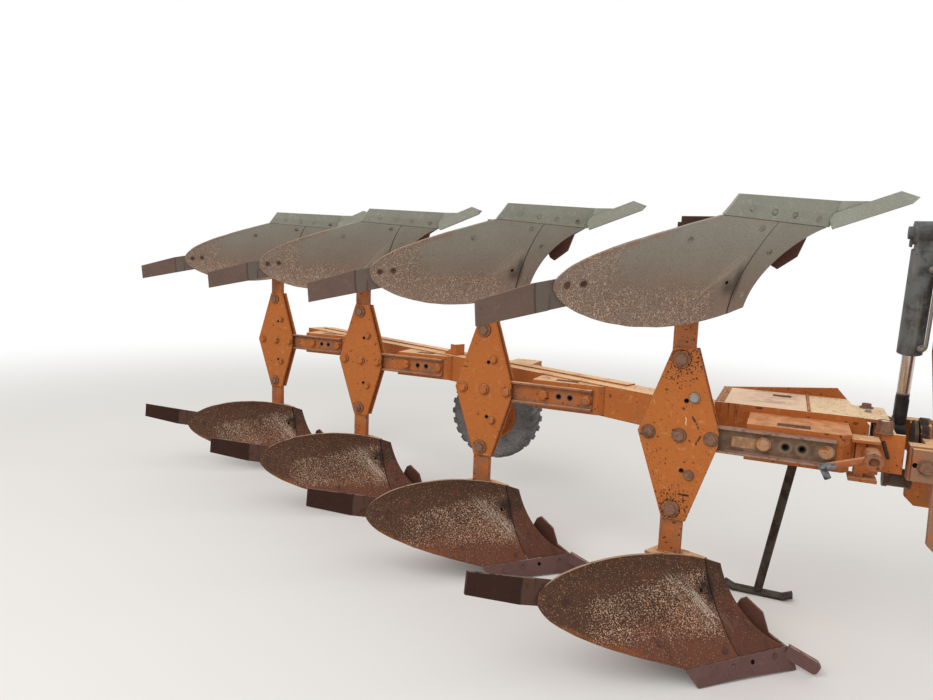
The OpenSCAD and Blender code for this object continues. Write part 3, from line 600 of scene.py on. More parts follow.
def resample(path, step):
    """Points along a line of straight stretches, about one step apart."""
    path = np.asarray(path, float)
    lengths = np.r_[0, np.cumsum(np.linalg.norm(np.diff(path, axis=0), axis=1))]
    at = np.linspace(0, lengths[-1], max(3, int(lengths[-1] / step) + 1))
    return np.stack([np.interp(at, lengths, path[:, k]) for k in range(3)], 1)


def along_path(path, radius, around):
    """Round section carried along a path: centre + r (cos v, sin v) in the plane across the path."""
    path = np.asarray(path, float)
    tangent = np.gradient(path, axis=0)
    tangent /= np.linalg.norm(tangent, axis=1)[:, None]
    helper = np.where(np.abs(tangent[:, 2:]) > 0.9, [[1.0, 0, 0]], [[0, 0, 1.0]])
    across = np.cross(helper, tangent)
    across /= np.linalg.norm(across, axis=1)[:, None]
    up = np.cross(tangent, across)
    v = np.arange(around) * 2 * math.pi / around
    radius = np.broadcast_to(np.asarray(radius, float), (len(path),))[:, None, None]
    rings = path[:, None] + radius * (
        np.cos(v)[None, :, None] * across[:, None] + np.sin(v)[None, :, None] * up[:, None]
    )
    return tube(np.concatenate([path[:1, None] + 0 * rings[:1], rings, path[-1:, None] + 0 * rings[-1:]]))


def bead(path, radius, seed):
    """Weld bead: radius r (0.8 + 0.22 |sin|) along the path, one ripple every 5 mm, thin at both ends."""
    step, pitch = 0.0018, 0.005
    points = resample(path, step)
    rng = np.random.default_rng(seed)
    s = np.arange(len(points)) * step
    r = radius * (0.80 + 0.22 * np.abs(np.sin(s * math.pi / pitch)) + 0.10 * ripple(s * 2, seed))
    r[[0, -1]] *= 0.6
    return along_path(points + rng.normal(0, 0.0002, points.shape), r, 7)


def mesh_of(name, verts, faces):
    """Mesh of points and of faces with as many corners each."""
    mesh = bpy.data.meshes.new(name)
    mesh.vertices.add(len(verts))
    mesh.vertices.foreach_set("co", np.ascontiguousarray(verts, np.float32).ravel())
    mesh.loops.add(faces.size)
    mesh.loops.foreach_set("vertex_index", faces.astype(np.int32).ravel())
    mesh.polygons.add(len(faces))
    mesh.polygons.foreach_set("loop_start", np.arange(0, faces.size, faces.shape[1], dtype=np.int32))
    mesh.update(calc_edges=True)
    return mesh


def merge_doubles(mesh, outward=True):
    """Merges points at one place, then turns the faces of a closed mesh outward."""
    work = bmesh.new()
    work.from_mesh(mesh)
    bmesh.ops.remove_doubles(work, verts=work.verts, dist=1e-6)
    if outward:
        bmesh.ops.recalc_face_normals(work, faces=work.faces)
    work.to_mesh(mesh)
    work.free()


def object_of(name, data):
    """A new object of that mesh, lamp or camera in the scene."""
    made = bpy.data.objects.new(name, data)
    bpy.context.scene.collection.objects.link(made)
    return made


def add_piece(name, shape, material, body, marks=None, sharp=32, bevel=0.0):
    """Mesh object of (verts, faces), doubles merged, faces outward, riding on its body.

    marks holds numbers at its points, sharp is the angle in degrees past which an edge stays sharp, and bevel
    is the width of its rounded edges.
    """
    mesh = mesh_of(name, *shape)
    for key, numbers in (marks or {}).items():
        mesh.attributes.new(key, "FLOAT", "POINT").data.foreach_set(
            "value", np.ascontiguousarray(numbers, np.float32).ravel()
        )
    merge_doubles(mesh)
    mesh.shade_smooth()
    mesh.set_sharp_from_angle(angle=math.radians(sharp))
    mesh.materials.append(material)
    made = object_of(name, mesh)
    if bevel:
        rounding = made.modifiers.new("worn_edges", "BEVEL")
        rounding.width, rounding.segments = bevel, 2
        rounding.limit_method, rounding.angle_limit = "ANGLE", math.radians(50)
    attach(made, body)
    return made


# Finishes


def settings():
    """The four groups of sizes and colours: paint, wear, fittings and view."""
    scene = bpy.context.scene
    return scene.plough_paint, scene.plough_wear, scene.plough_fittings, scene.plough_view


def painted(name, fade_and_sky_light=0.75, chips=0.5, heavy=(), rims=(), scores=(), deep=0.35, worn=None, grime=0.25):
    """Weathered orange paint.

    Level faces are sun-faded and painted paler as sky light, chips are cut noise, denser near the heavy
    points, and edges are worn to rust.
    Each rim is (points, inner, outer, strength) for a dark ring round bolts and holes, and each score is a
    bare scratch (x, z, half run in x, half run in z, half width, colour). deep is the share of darker paint,
    grime that of soil, and worn is a function that adds the marks of one piece.
    """
    paint, wear = settings()[:2]
    s = Shader.material(name)
    x, y, z = s.axes()
    level = s.level(0.55, 0.95)
    broad, fine = s.noise(3.2, 3), s.noise(42.0, 4, 0.62)
    shade = (broad.step(0.40, 0.68) * deep).most(fine.step(0.6, 0.8) * 0.35)
    s.colour = s.mix(paint.orange, paint.deep, shade)
    # Sun fade and painted sky light: faces that look up made paler, with faint pale flecks elsewhere
    faded_and_lit_mask = (level * fade_and_sky_light * s.noise(9.0, 4, 0.6).step(0.16, 0.52)).most(fine.step(0.42, 0.30) * 0.16)
    s.lay(paint.faded_and_sky_lit, faded_and_lit_mask)
    dirt = s.noise(14.0, 6, 0.7).step(0.60 - grime * 0.22, 0.84 - grime * 0.22) * (0.3 + grime * 0.6)
    s.lay(SOIL, dirt * (0.80 - level * 0.40))
    edge, rounded = s.edges(wear.edge_wear)
    patch = s.noise(75.0, 4, 0.6)
    worn_edge = edge * patch.step(0.36, 0.52)
    dense = s.noise(7.0, 2, 0.5).step(0.42, 0.72) * 0.45
    if heavy:
        dense = dense.most(s.nearest(heavy, True).step(0.17, 0.03))
    chipped = (s.noise(140.0, 2, 0.5) - (0.700 - dense * (0.05 + 0.095 * chips))).step(0.0, 0.018)
    tiny = (s.noise(310.0, 1, 0.5) - (0.750 - dense * 0.10)).step(0.0, 0.02)
    dots = (s.noise(62.0, 0, 0.5) - (0.80 - chips * wear.chips * 0.09)).step(0.0, 0.012)
    chipped = chipped.most(tiny).most(dots * 0.8)
    rusty = s.mix(paint.rust, paint.chip, s.noise(60.0, 3).step(0.30, 0.50))
    s.lay(rusty, worn_edge.most(chipped))
    for points, inner, outer, strength in rims:
        away = s.nearest(points, True)
        s.lay(SOOT_AND_SHADE, away.step(outer, inner) * away.step(inner - 0.002, inner) * strength)
    for cx, cz, run_x, run_z, width, tint in scores:
        half = math.hypot(run_x, run_z)
        along = ((x - cx) * (run_x / half) + (z - cz) * (run_z / half)) / half
        across = (z - cz) * (run_x / half) - (x - cx) * (run_z / half) + (fine - 0.5) * 0.012
        mask = abs(along).step(1.0, 0.7) * abs(across).step(width, width * 0.4) * patch.step(0.34, 0.44)
        s.lay(tint, mask)
    if worn:
        chipped = worn(s, chipped, (x, y, z), level)
    rough = 0.50 + fine * 0.2 + chipped * 0.3 + dirt * 0.3
    height = (1 - chipped) * 0.5 + s.noise(420.0, 2) * 0.06 + fine * 0.12 - worn_edge * 0.4
    return s.finish(rough, 0.0, height, 0.0006, rounded, 0.25)


def deck_wear(s, chipped, place, level):
    """Front frame: pinkish rubbed deck behind its seam and pale yellow ahead, both drawn pale also as painted
    sky light, painted shade round its slot, dark runs down the near side.
    """
    paint = settings()[0]
    x, y, z = place
    back, seam = -0.910, -0.575
    cloud = s.noise(11.0, 6, 0.7)
    # Level faces behind the seam: pinkish rubbed paint, drawn pale also as painted sky light
    patch = x.step(back - 0.005, back + 0.005) * x.step(seam + 0.003, seam - 0.003) * level
    rubbed = patch * cloud.step(0.24, 0.50)
    s.lay(srgb(242, 210, 180), rubbed * 0.92)
    middle = x.step(-0.86, -0.74) * x.step(-0.58, -0.64) * y.step(-0.12, -0.02)
    dirt = s.noise(23.0, 6, 0.72).step(0.52, 0.70).most(middle * cloud.step(0.42, 0.6))
    dirt_and_slot_shade = patch * (0.5 + middle * 0.5) * dirt
    s.lay(srgb(168, 124, 104), dirt_and_slot_shade * 0.6)
    # Level faces ahead of the seam: pale yellow paint, drawn pale also as painted sky light
    ahead = x.step(seam - 0.001, seam + 0.005) * level
    s.lay(srgb(242, 214, 172), ahead * cloud.step(0.20, 0.5) * 0.8)
    wide, fine = abs(s.noise(17.0, 3, 0.6) - 0.5), abs(s.noise(34.0, 2, 0.6) - 0.46)
    crack = wide.step(0.012, 0.004).most(fine.step(0.014, 0.005))
    s.lay(paint.rust, ahead * crack * 0.55)
    # Painted shade of the deck's slot: a black patch on the level face, wider than the slot
    cx, cy = at_station(0, DECK_SLOT)[:2]
    grease_and_slot_shade = abs(x - cx).step(0.038, 0.033) * abs(y - cy).step(0.030, 0.024) * level
    s.lay(SOOT_AND_SHADE, grease_and_slot_shade * s.noise(70.0, 3).step(0.30, 0.42) * 0.9)
    runs = s.strokes((0.0, 0.0, 1.0), (1.0, 0.0, 0.0), 7.0, 110.0, 4.0).step(0.58, 0.68)
    side = y.step(-0.146, -0.149) * x.step(-0.77, -0.86) * z.step(0.20, 0.24)
    s.lay(paint.chip, runs * side * 0.9)
    return chipped.most(rubbed * 0.3)


def bare_arm(s, chipped, place, level):
    """Paint rubbed down to brown-grey steel, with a pale panel between the bolts, pale purple lips that are
    partly a painted highlight, and painted shade round the open holes.
    """
    paint = settings()[0]
    x, z = place[0], place[2]
    cloud = s.noise(24.0, 6, 0.7)
    steel = s.mix(paint.bare, srgb(86, 66, 54), cloud.step(0.34, 0.66))
    # Pale purple worn steel on the lips and level faces, partly a painted highlight
    lip_wear_and_highlight = level.most(abs(z - AXIS_H).step(0.034, 0.040))
    steel = s.mix(steel, srgb(160, 124, 110), lip_wear_and_highlight * s.noise(60.0, 4).step(0.25, 0.55) * 0.85)
    rubbed = s.noise(6.0, 5, 0.65).step(0.28, 0.36)
    s.lay(steel, rubbed * 0.95)
    back, front, low = -0.822, -0.742, AXIS_H - 0.003
    panel = x.step(back - 0.002, back + 0.002) * x.step(front + 0.002, front - 0.002)
    tan = s.mix(srgb(186, 144, 102), srgb(146, 108, 76), s.noise(40.0, 5, 0.65).step(0.36, 0.62))
    s.lay(tan, panel * abs(z - low).step(0.021, 0.018) * (1 - level) * 0.9)
    away = s.nearest([at_station(0, (hx, ARM_FACE, 0)) for hx in ARM_HOLES], True)
    s.lay(srgb(150, 122, 100), away.step(0.028, 0.020) * cloud.step(0.36, 0.52) * 0.35)
    # Painted shade of the open holes, drawn wider than the holes
    s.lay(SOOT_AND_SHADE, away.step(0.0155, 0.0125) * 0.9)
    return chipped.most(rubbed * 0.4)


def slot_shade_marks(s, chipped, place, level):
    """Brackets: the first one less faded, and painted shade round the slots of their ends, drawn wider than
    the slots.
    """
    paint = settings()[0]
    x, y = place[:2]
    first = x.step(-0.80, -0.78) * level
    fresh = s.mix(paint.orange, srgb(214, 140, 84), s.noise(20.0, 4).step(0.35, 0.6))
    s.lay(fresh, first * 0.75)
    # Painted shade of the slots: black round each slot on its faces that look up or down
    dirt_and_slot_shade = None
    for i in STATIONS:
        cx, cy = at_station(i, BRACKET_SLOT)[:2]
        wide = 0.026 if i == 0 else 0.022
        spot = abs(x - cx).step(0.056, 0.052) * abs(y - cy).step(wide + 0.003, wide)
        dirt_and_slot_shade = spot if dirt_and_slot_shade is None else dirt_and_slot_shade.most(spot)
    flat = abs(s.axes(s.facing)[2]).step(0.55, 0.95)
    s.lay(SOOT_AND_SHADE, dirt_and_slot_shade * flat * s.noise(90.0, 3).step(0.25, 0.36) * 0.92)
    return chipped


def dirty_arm(s, chipped, place, level):
    """Arms two to four: the web browner towards its corners, pale rubbed steel round the two open holes, and
    painted shade of the holes.
    """
    z = place[2]
    corner = abs(z - AXIS_H).step(0.020, 0.038) * (1 - level)
    s.lay(SOIL, corner * s.noise(30.0, 5, 0.65).step(0.30, 0.60) * 0.8)
    away = s.nearest([at_station(i, (hx, ARM_FACE, 0)) for i in STATIONS[1:] for hx in ARM_HOLES], True)
    s.lay(srgb(142, 104, 80), away.step(0.032, 0.022) * s.noise(40.0, 5).step(0.30, 0.50) * 0.6)
    # Painted shade of the open holes, drawn wider than the holes
    s.lay(SOOT_AND_SHADE, away.step(0.0150, 0.0120) * 0.9)
    return chipped


def frog_soil_and_shade(s, chipped, place, level):
    """Soil and rust on the frogs below their flange, where the boards cover them, darkened also as painted
    shade behind the boards.
    """
    z = place[2]
    # Soil, and painted shade where the boards cover the frogs
    covered_soil_and_shade = z.step(-0.182, -0.196).most(z.step(0.742, 0.756))
    s.lay(srgb(64, 44, 34), covered_soil_and_shade * s.noise(9.0, 5).step(0.18, 0.34))
    return chipped.most(covered_soil_and_shade * 0.5)


def grey_tip(s, chipped, place, level):
    """Blue-grey bare end of the crank handle."""
    x, y, z = place
    bare = z.step(0.262, 0.250) * x.step(-0.482, -0.494) * y.step(-0.36, -0.38)
    dark = s.noise(50.0, 4).step(0.40, 0.62).most(z.step(0.212, 0.205))
    steel = s.mix(srgb(124, 126, 130), srgb(62, 62, 66), dark)
    s.lay(steel, bare)
    return chipped


def greased(s, chipped, place, level):
    """Black grease and pinkish dirt round the turnover housing, and the near end block's upright faces
    browner.
    """
    x, y, z = place
    cloud = s.noise(26.0, 5, 0.66)
    near = (y * y + (z - AXIS_H) * (z - AXIS_H)).step(0.0125, 0.0090)
    s.lay(srgb(170, 124, 104), near * cloud.step(0.34, 0.56) * 0.7)
    ends, middle = x.step(-0.165, -0.185).most(x.step(-0.020, -0.004)), -0.105
    band = ends.most(abs(x - middle).step(0.016, 0.006))
    s.lay(SOOT_AND_SHADE, band * near * cloud.step(0.34, 0.48) * 0.95)
    block = y.step(-0.270, -0.272) * (1 - level)
    s.lay(srgb(142, 110, 88), block * s.noise(12.0, 5, 0.62).step(0.28, 0.56) * 0.85)
    return chipped


def rusty_board(name, flip, dusty):
    """Rust of a mouldboard: brown above and red below, with dense specks of dry soil.

    The mesh gives the share of red rust, the density of specks, the dark stain (on the shins also painted
    shade of the seam gap), the scuffs and the orange rust of the lower edge at each point. flip is -1 on the
    mirrored upper row, and dusty is the share of the pale film.
    """
    paint, wear = settings()[:2]
    s = Shader.material(name)
    red, dense, stain_and_seam_shade, scuff, ember = (s.mark(k) for k in ("red", "dense", "stain_and_seam_shade", "scuff", "ember"))
    level = s.level(0.60, 0.90)
    broad, middle, fine = s.noise(5.0, 5, 0.6), s.noise(26.0, 5, 0.65), s.noise(190.0, 4, 0.6)
    share = (red + (broad - 0.5) * 0.9 + (middle - 0.5) * 0.5).step(0.25, 0.75)
    s.colour = s.mix(paint.brown, paint.rust, share)
    s.lay(srgb(128, 76, 50), middle.step(0.52, 0.70) * 0.40)
    wet = s.noise(1.0, 4, 0.6, s.vector("MULTIPLY", s.coords, (26.0, 26.0, 7.0)))
    s.lay(srgb(72, 50, 40), wet.step(0.50, 0.70) * 0.40)
    if dusty:
        film = s.mix(srgb(146, 131, 118), srgb(162, 160, 149), s.axes()[2].step(0.76, 1.04))
        s.lay(film, dusty * (1.0 + (broad - 0.5) * 0.6 - share * 0.15))
    s.lay(srgb(58, 40, 32), fine.step(0.50, 0.66) * (0.5 - dusty * 0.35))
    s.lay(srgb(148, 84, 40), ember * middle.step(0.34, 0.56) * 0.8)
    crumbs = s.noise(215.0, 1, 0.5) + (s.noise(430.0, 1) - 0.5) * 0.20
    crust = (crumbs - (0.70 - dense * (0.05 + 0.18 * wear.specks))).step(0.0, 0.04)
    pits = (0.44 - crumbs).step(0.0, 0.06) * dense
    s.lay(srgb(56, 36, 28), pits * (0.7 - dusty * 0.4))
    tan = s.mix(paint.speckle, srgb(166, 126, 98), s.noise(70.0, 3).step(0.35, 0.65))
    s.lay(tan, crust * (0.30 + dense * 0.62) * (1.0 - dusty * 0.35))
    run, side = (0.479, 0.444, -0.757 * flip), (0.555, 0.515, 0.653 * flip)
    lines = s.strokes(run, side, 6.0, 260.0).step(0.53, 0.60)
    hazed = (scuff - 0.55).step(0.0, 0.4) * crumbs.step(0.46, 0.56) * 0.7
    s.lay(srgb(206, 192, 174), (lines * scuff).most(hazed) * (0.85 - dusty * 0.70))
    # Dark stains, and on the shins painted shade of the seam gap
    s.lay(srgb(46, 34, 32), stain_and_seam_shade * (0.9 - dusty * 0.35))
    edge, rounded = s.edges(0.002)
    rim = (level * middle.step(0.25, 0.5)).most(edge * middle.step(0.35, 0.6) * 0.8)
    s.lay(PALE_RIM, rim * (0.8 - dusty * 0.7))
    height = fine * 0.55 + crust * 0.8 + middle * 0.4
    rough = 0.76 + crust * 0.18 - share * 0.06
    return s.finish(rough, 0.0, height, 0.0007, rounded, 0.12)


def smooth_rust(name, base=None, dark=0.5, pale_edge=0.6, roots=(), clamp=SOIL):
    """Smooth red-brown rust with darker clouds, pale worn edges, a few flecks and paler clamped roots."""
    s = Shader.material(name)
    base = tuple(base or settings()[0].share)
    broad, middle, fine = s.noise(7.0, 5, 0.6), s.noise(34.0, 6, 0.68), s.noise(240.0, 3, 0.6)
    level = s.level(0.60, 0.90)
    shade = (broad.step(0.42, 0.66) * dark).most(middle.step(0.58, 0.72) * 0.6)
    s.colour = s.mix(base, tuple(c * 0.60 for c in base), shade)
    s.lay(tuple(c * 1.45 for c in base), middle.step(0.44, 0.32) * 0.40)
    s.lay(tuple(c * 2.0 + 0.03 for c in base), (fine - 0.60).step(0.0, 0.08) * 0.45)
    if roots:
        away = s.nearest(roots)
        s.lay(clamp, away.step(ROOT_REACH + 0.004, ROOT_REACH - 0.004) * middle.step(0.28, 0.48) * 0.85)
        s.lay(SOOT_AND_SHADE, abs(away - ROOT_REACH).step(0.006, 0.002) * 0.45)
    edge, rounded = s.edges(0.004)
    pale = edge.most(level) * s.noise(48.0, 4).step(0.32, 0.54)
    s.lay(srgb(176, 146, 130), pale * pale_edge)
    return s.finish(0.62 + middle * 0.16, 0.0, fine * 0.5 + middle * 0.5, 0.0005, rounded, 0.18)


def worn_metal(name, base, rust_share=0.5, rough=0.5, metal=0.35, rust=None):
    """Bare steel with rust spreading over it in clouds."""
    paint = settings()[0]
    s = Shader.material(name)
    cloud, fine = s.noise(21.0, 6, 0.68), s.noise(160.0, 3, 0.6)
    rusted = (cloud + (fine - 0.5) * 0.3).step(0.66 - rust_share * 0.32, 0.76 - rust_share * 0.30)
    edge, rounded = s.edges(0.002)
    dark = (fine.step(0.48, 0.64) * 0.6).most(cloud.step(0.52, 0.66) * 0.6)
    brown = s.mix(rust or paint.bolt, paint.chip, dark)
    s.colour = s.mix(base, brown, rusted)
    s.lay(PALE_RIM, edge * fine.step(0.40, 0.60) * 0.55)
    height = fine * 0.6 + cloud * 0.4
    return s.finish(rough + rusted * 0.3, (1 - rusted) * metal, height, 0.0005, rounded, 0.2)


def painted_void_shade(name):
    """Painted shade for the inside of a hole or slot: nearly black, a little mottled, with no gloss."""
    s = Shader.material(name)
    s.colour = s.mix(srgb(14, 11, 10), srgb(34, 26, 22), s.noise(120.0, 3).step(0.4, 0.7))
    return s.finish(0.95, gloss=0.0)


def dusty_rubber(name):
    """Grey-brown rubber: dust lies in the grooves and over the side wall, lug tops are rubbed darker."""
    paint = settings()[0]
    s = Shader.material(name)
    groove = s.mark("groove")
    broad, fine = s.noise(9.0, 5, 0.65), s.noise(130.0, 4, 0.6)
    dusty = (broad.step(0.30, 0.66) * 0.55 + groove * 0.4).least(1.0)
    s.colour = s.mix(paint.rubber, paint.dust, dusty * fine.step(0.25, 0.70))
    s.lay(srgb(44, 41, 40), s.noise(30.0, 5).step(0.62, 0.74) * 0.6)
    return s.finish(0.78 + dusty * 0.15, 0.0, fine * 0.7 + broad * 0.2, 0.0006, gloss=0.2)


def dark_paint(name):
    """Dark grey cylinder paint with dust, pale rubs and rust on the edges."""
    paint = settings()[0]
    s = Shader.material(name)
    broad, fine = s.noise(12.0, 6, 0.68), s.noise(120.0, 3, 0.6)
    edge, rounded = s.edges(0.003)
    s.colour = s.mix(paint.cylinder, srgb(58, 56, 54), broad.step(0.42, 0.66))
    rubs = s.strokes(CYLINDER_RUN, (1.0, 0.0, 0.0), 3.0, 26.0, 5.0)
    s.lay(srgb(134, 128, 116), rubs.step(0.52, 0.70) * 0.5)
    spots = (edge * fine.step(0.40, 0.60)).most((fine - 0.68).step(0.0, 0.03))
    s.lay(paint.rust, spots * 0.8)
    return s.finish(0.46 + broad * 0.3, 0.0, fine * 0.5, 0.0003, rounded, 0.35)


def chromed(name):
    """Hard chrome with faint draw lines, and greasy black forged steel near its eye."""
    paint = settings()[0]
    s = Shader.material(name)
    forged = s.axes()[2].step(0.440, 0.425)
    grease_and_slot_shade = s.noise(16.0, 5, 0.65)
    drawn = s.strokes(CYLINDER_RUN, (1.0, 0.0, 0.0), 2.0, 120.0)
    dull = (grease_and_slot_shade.step(0.46, 0.70) * 0.5).most(drawn.step(0.55, 0.7) * 0.35)
    s.colour = s.mix(paint.chrome, srgb(160, 126, 100), dull)
    black = s.mix(srgb(32, 30, 30), srgb(66, 54, 46), grease_and_slot_shade.step(0.46, 0.68))
    s.lay(black, forged)
    rough = 0.20 + grease_and_slot_shade * 0.16 + forged * 0.35
    return s.finish(rough, 1 - forged * 0.9, s.noise(200.0, 3) * forged, 0.0005)


# Operators


def once(name, make, *details, **more):
    """The material of that name, made at its first use."""
    return bpy.data.materials.get(name) or make(name, *details, **more)


def rusty_bolts():
    """Rust of most bolt heads, nuts and washers."""
    return once("rusty_bolts", worn_metal, settings()[0].bolt, 0.75, 0.6, 0.2)


def grey_bolts():
    """Dull zinc of the newer bolts, nipples, pins and pipes."""
    return once("grey_bolts", worn_metal, srgb(150, 144, 136), 0.28, 0.45, 0.6)


def painted_bolts():
    """Worn paint over the heads that were painted with the plough."""
    return once("painted_bolts", painted, 0.6, 1.0, deep=0.3, grime=0.6)


def set_bolts(name, profile, places, material, body="frame", slot="worn_steel", **turning):
    """One piece of like bolts, nuts or discs at all their places; turning goes to set_pieces."""
    return add_piece(name, set_pieces(profile, places, **turning), material, body)


def close_holes(name, radius, places, body="frame", slot="worn_steel"):
    """Dark discs of that radius in open holes, painted shade of their insides."""
    return set_bolts(name, pit_profile(radius), places, once("hole_dark", painted_void_shade), body, slot)


class Piece(bpy.types.Operator):
    """Shared ground of the plough's operators."""

    bl_options = {"REGISTER", "UNDO"}


class PLOUGH_OT_boards(Piece):
    """Mouldboards and shins as fine sheets of the cylindroid, with waves, hollows and worn outlines"""

    bl_idname = "plough.boards"
    bl_label = "Mouldboards"

    def execute(self, context):
        for side, flip, dusty in ((LOWER, 1, 0.0), (UPPER, -1, 0.8)):
            rust = rusty_board(f"board_rust_{side}", flip, dusty)
            shins, shin_marks = [], []
            for i in STATIONS:
                seed = 11 * i + (5 if side == UPPER else 0)
                shape, marks = self.board(i, side, seed)
                made = add_piece(
                    f"board_{side}_{i + 1}", shape, rust, "frame", marks, bevel=SHEET_EDGE,
                )
                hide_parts(f"mouldboard_{side}_{i + 1}")
                shape, marks = self.shin(i, side, seed)
                shins.append(shape)
                shin_marks.append(marks)
            marks = {k: np.concatenate([m[k] for m in shin_marks]) for k in marks}
            made = add_piece(
                f"shin_sheets_{side}", joined(shins), rust, "frame", marks, bevel=SHEET_EDGE,
            )
            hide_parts(f"shins_{side}")
        return {"FINISHED"}

    @staticmethod
    def board(station, side, seed):
        """Sheet over the board's outline, pressed back by waves, at its tail bolts and at its seam hole."""
        u, v = grid(105, 57)
        t, h = np.moveaxis(board_outline(u, v, seed), -1, 0)
        waves = 0.5 + 0.5 * np.sin(9 * t + 2.3 * station) * np.sin(14 * h + 1.1 * station + 3 * t)
        calm = np.clip(np.minimum(np.minimum(u, 1 - u), np.minimum(v, 1 - v)) * 12, 0, 1)
        dent = settings()[1].dents * waves * calm
        for hole in TAIL_BOLTS:
            dent += 0.0024 * bump_at(t, h, hole, 0.020)
        dent += 0.0040 * bump_at(t, h, SEAM_HOLE, 0.018)
        return sheet(station, side, t, h, dent), both_faces(board_marks(side, t, h, v, seed))

    @staticmethod
    def shin(station, side, seed):
        """Sheet between the seam, a gap ahead of it, and the shin's cutting edge; its seam edge is darkened
        as painted shade of the gap.
        """
        u, v = grid(19, 57)
        near, far = bezier(SEAM_CURVE, v) + np.array([SEAM_GAP, 0]), bezier(SHIN_CURVE, v)
        lift = np.stack([0 * v, 0.0015 * v], -1)
        t, h = np.moveaxis(near + (far - near) * u[..., None] + lift, -1, 0)
        marks = board_marks(side, t, h, 0 * v + 0.5, seed)
        # Painted shade of the seam gap along the shin's seam edge, over a darker tone on the whole sheet
        stain_and_seam_shade = (0.3 if side == LOWER else 0.08) + 0.7 * smooth(u, 0.05, 0.0) * smooth(v, 1.0, 0.3)
        marks = {**marks, "dense": marks["dense"] * 0.35, "stain_and_seam_shade": np.maximum(marks["stain_and_seam_shade"], stain_and_seam_shade)}
        return sheet(station, side, t, h, 0.0), both_faces(marks)


def board_marks(side, t, h, v, seed):
    """Shares of red rust, soil specks, dark stain, scuffs and orange edge rust at each point of the sheet."""
    noise = ripple(t * 1.3 + h, seed + 40) * 0.25
    if side == LOWER:
        red = smooth(h - 0.16 * t, 0.33, 0.16)
        band = smooth(np.abs(h - 0.254 - 0.04 * t) / (0.106 + 0.095 * t), 1.35, 0.65)
        band = band * smooth(t, -0.49, -0.33) * (0.95 + noise)
        dense = np.maximum(band, 0.35 * smooth(t - h, 0.08, -0.15))
    else:
        red = 0.35 + 0.4 * smooth(h, 0.20, 0.40) + 0.3 * smooth(t, -0.30, -0.52)
        band = np.maximum(smooth(h, 0.26, 0.34) * smooth(t, 0.10, 0.0), smooth(t, -0.28, -0.40))
        dense = np.maximum(band * (1.0 + noise), 0.2)
    hole_t, hole_h = SEAM_HOLE
    stain_and_seam_shade = np.maximum(
        bump_at(t, h, (hole_t + 0.012, hole_h + 0.016), 0.046),
        1.4 * bump_at(t, (h - hole_h) * 0.30 + hole_h, (0.113, hole_h), 0.026),
    ) * (t < 0.16)
    for hole in TAIL_BOLTS:
        stain_and_seam_shade = np.maximum(stain_and_seam_shade, 1.1 * bump_at(t, h, hole, 0.021))
    stain_and_seam_shade = np.maximum(stain_and_seam_shade, 0.6 * bump_at(t, h, BOARD_BOLT, 0.017))
    start_t, start_h, cosine, sine = -0.02, 0.335, 0.653, 0.757
    across = (t - start_t) * sine + (h - start_h) * cosine
    along = (t - start_t) * cosine - (h - start_h) * sine
    line = smooth(np.abs(across), 0.008, 0.003) * smooth(along, -0.01, 0.02) * smooth(along, 0.21, 0.18)
    haze = smooth(np.abs(across - 0.012), 0.022, 0.006) * smooth(h, 0.18, 0.21) * smooth(h, 0.33, 0.28)
    haze = 0.85 * haze * (t < 0.12)
    rubs = 0.5 * smooth(np.abs(across), 0.060, 0.010) * smooth(h, 0.14, 0.22) * smooth(h, 0.38, 0.33)
    ember = smooth(t, -0.54, -0.48) * smooth(t, -0.18, -0.26) * smooth(v, 0.10, 0.03)
    found = {
        "red": red, "dense": dense, "stain_and_seam_shade": stain_and_seam_shade, "scuff": np.maximum(np.maximum(line, haze), rubs),
        "ember": ember * (0.7 if side == LOWER else 0.4),
    }
    return {k: np.clip(m, 0, 1) for k, m in found.items()}


def on_board(station, side, t, h, lift=0.0):
    """Place on the board's face and the direction out of it."""
    near = 0.002
    spot = board_point(np.array([t, t, t + near]), np.array([h, h + near, h]))
    placed = at_body(station, side, spot)
    out = np.cross(placed[1] - placed[0], placed[2] - placed[0])
    out /= np.linalg.norm(out)
    behind = at_body(station, side, board_point(np.array([t]), np.array([h]), 0.01))[0]
    if out @ (behind - placed[0]) > 0:
        out = -out
    return placed[0] + out * lift, out


def pit_profile(radius):
    """Rows of a flat dark disc that closes a hole as painted shade."""
    return [(0, -0.002), (radius, -0.002), (radius, 0.0005), (0, 0.0005)]


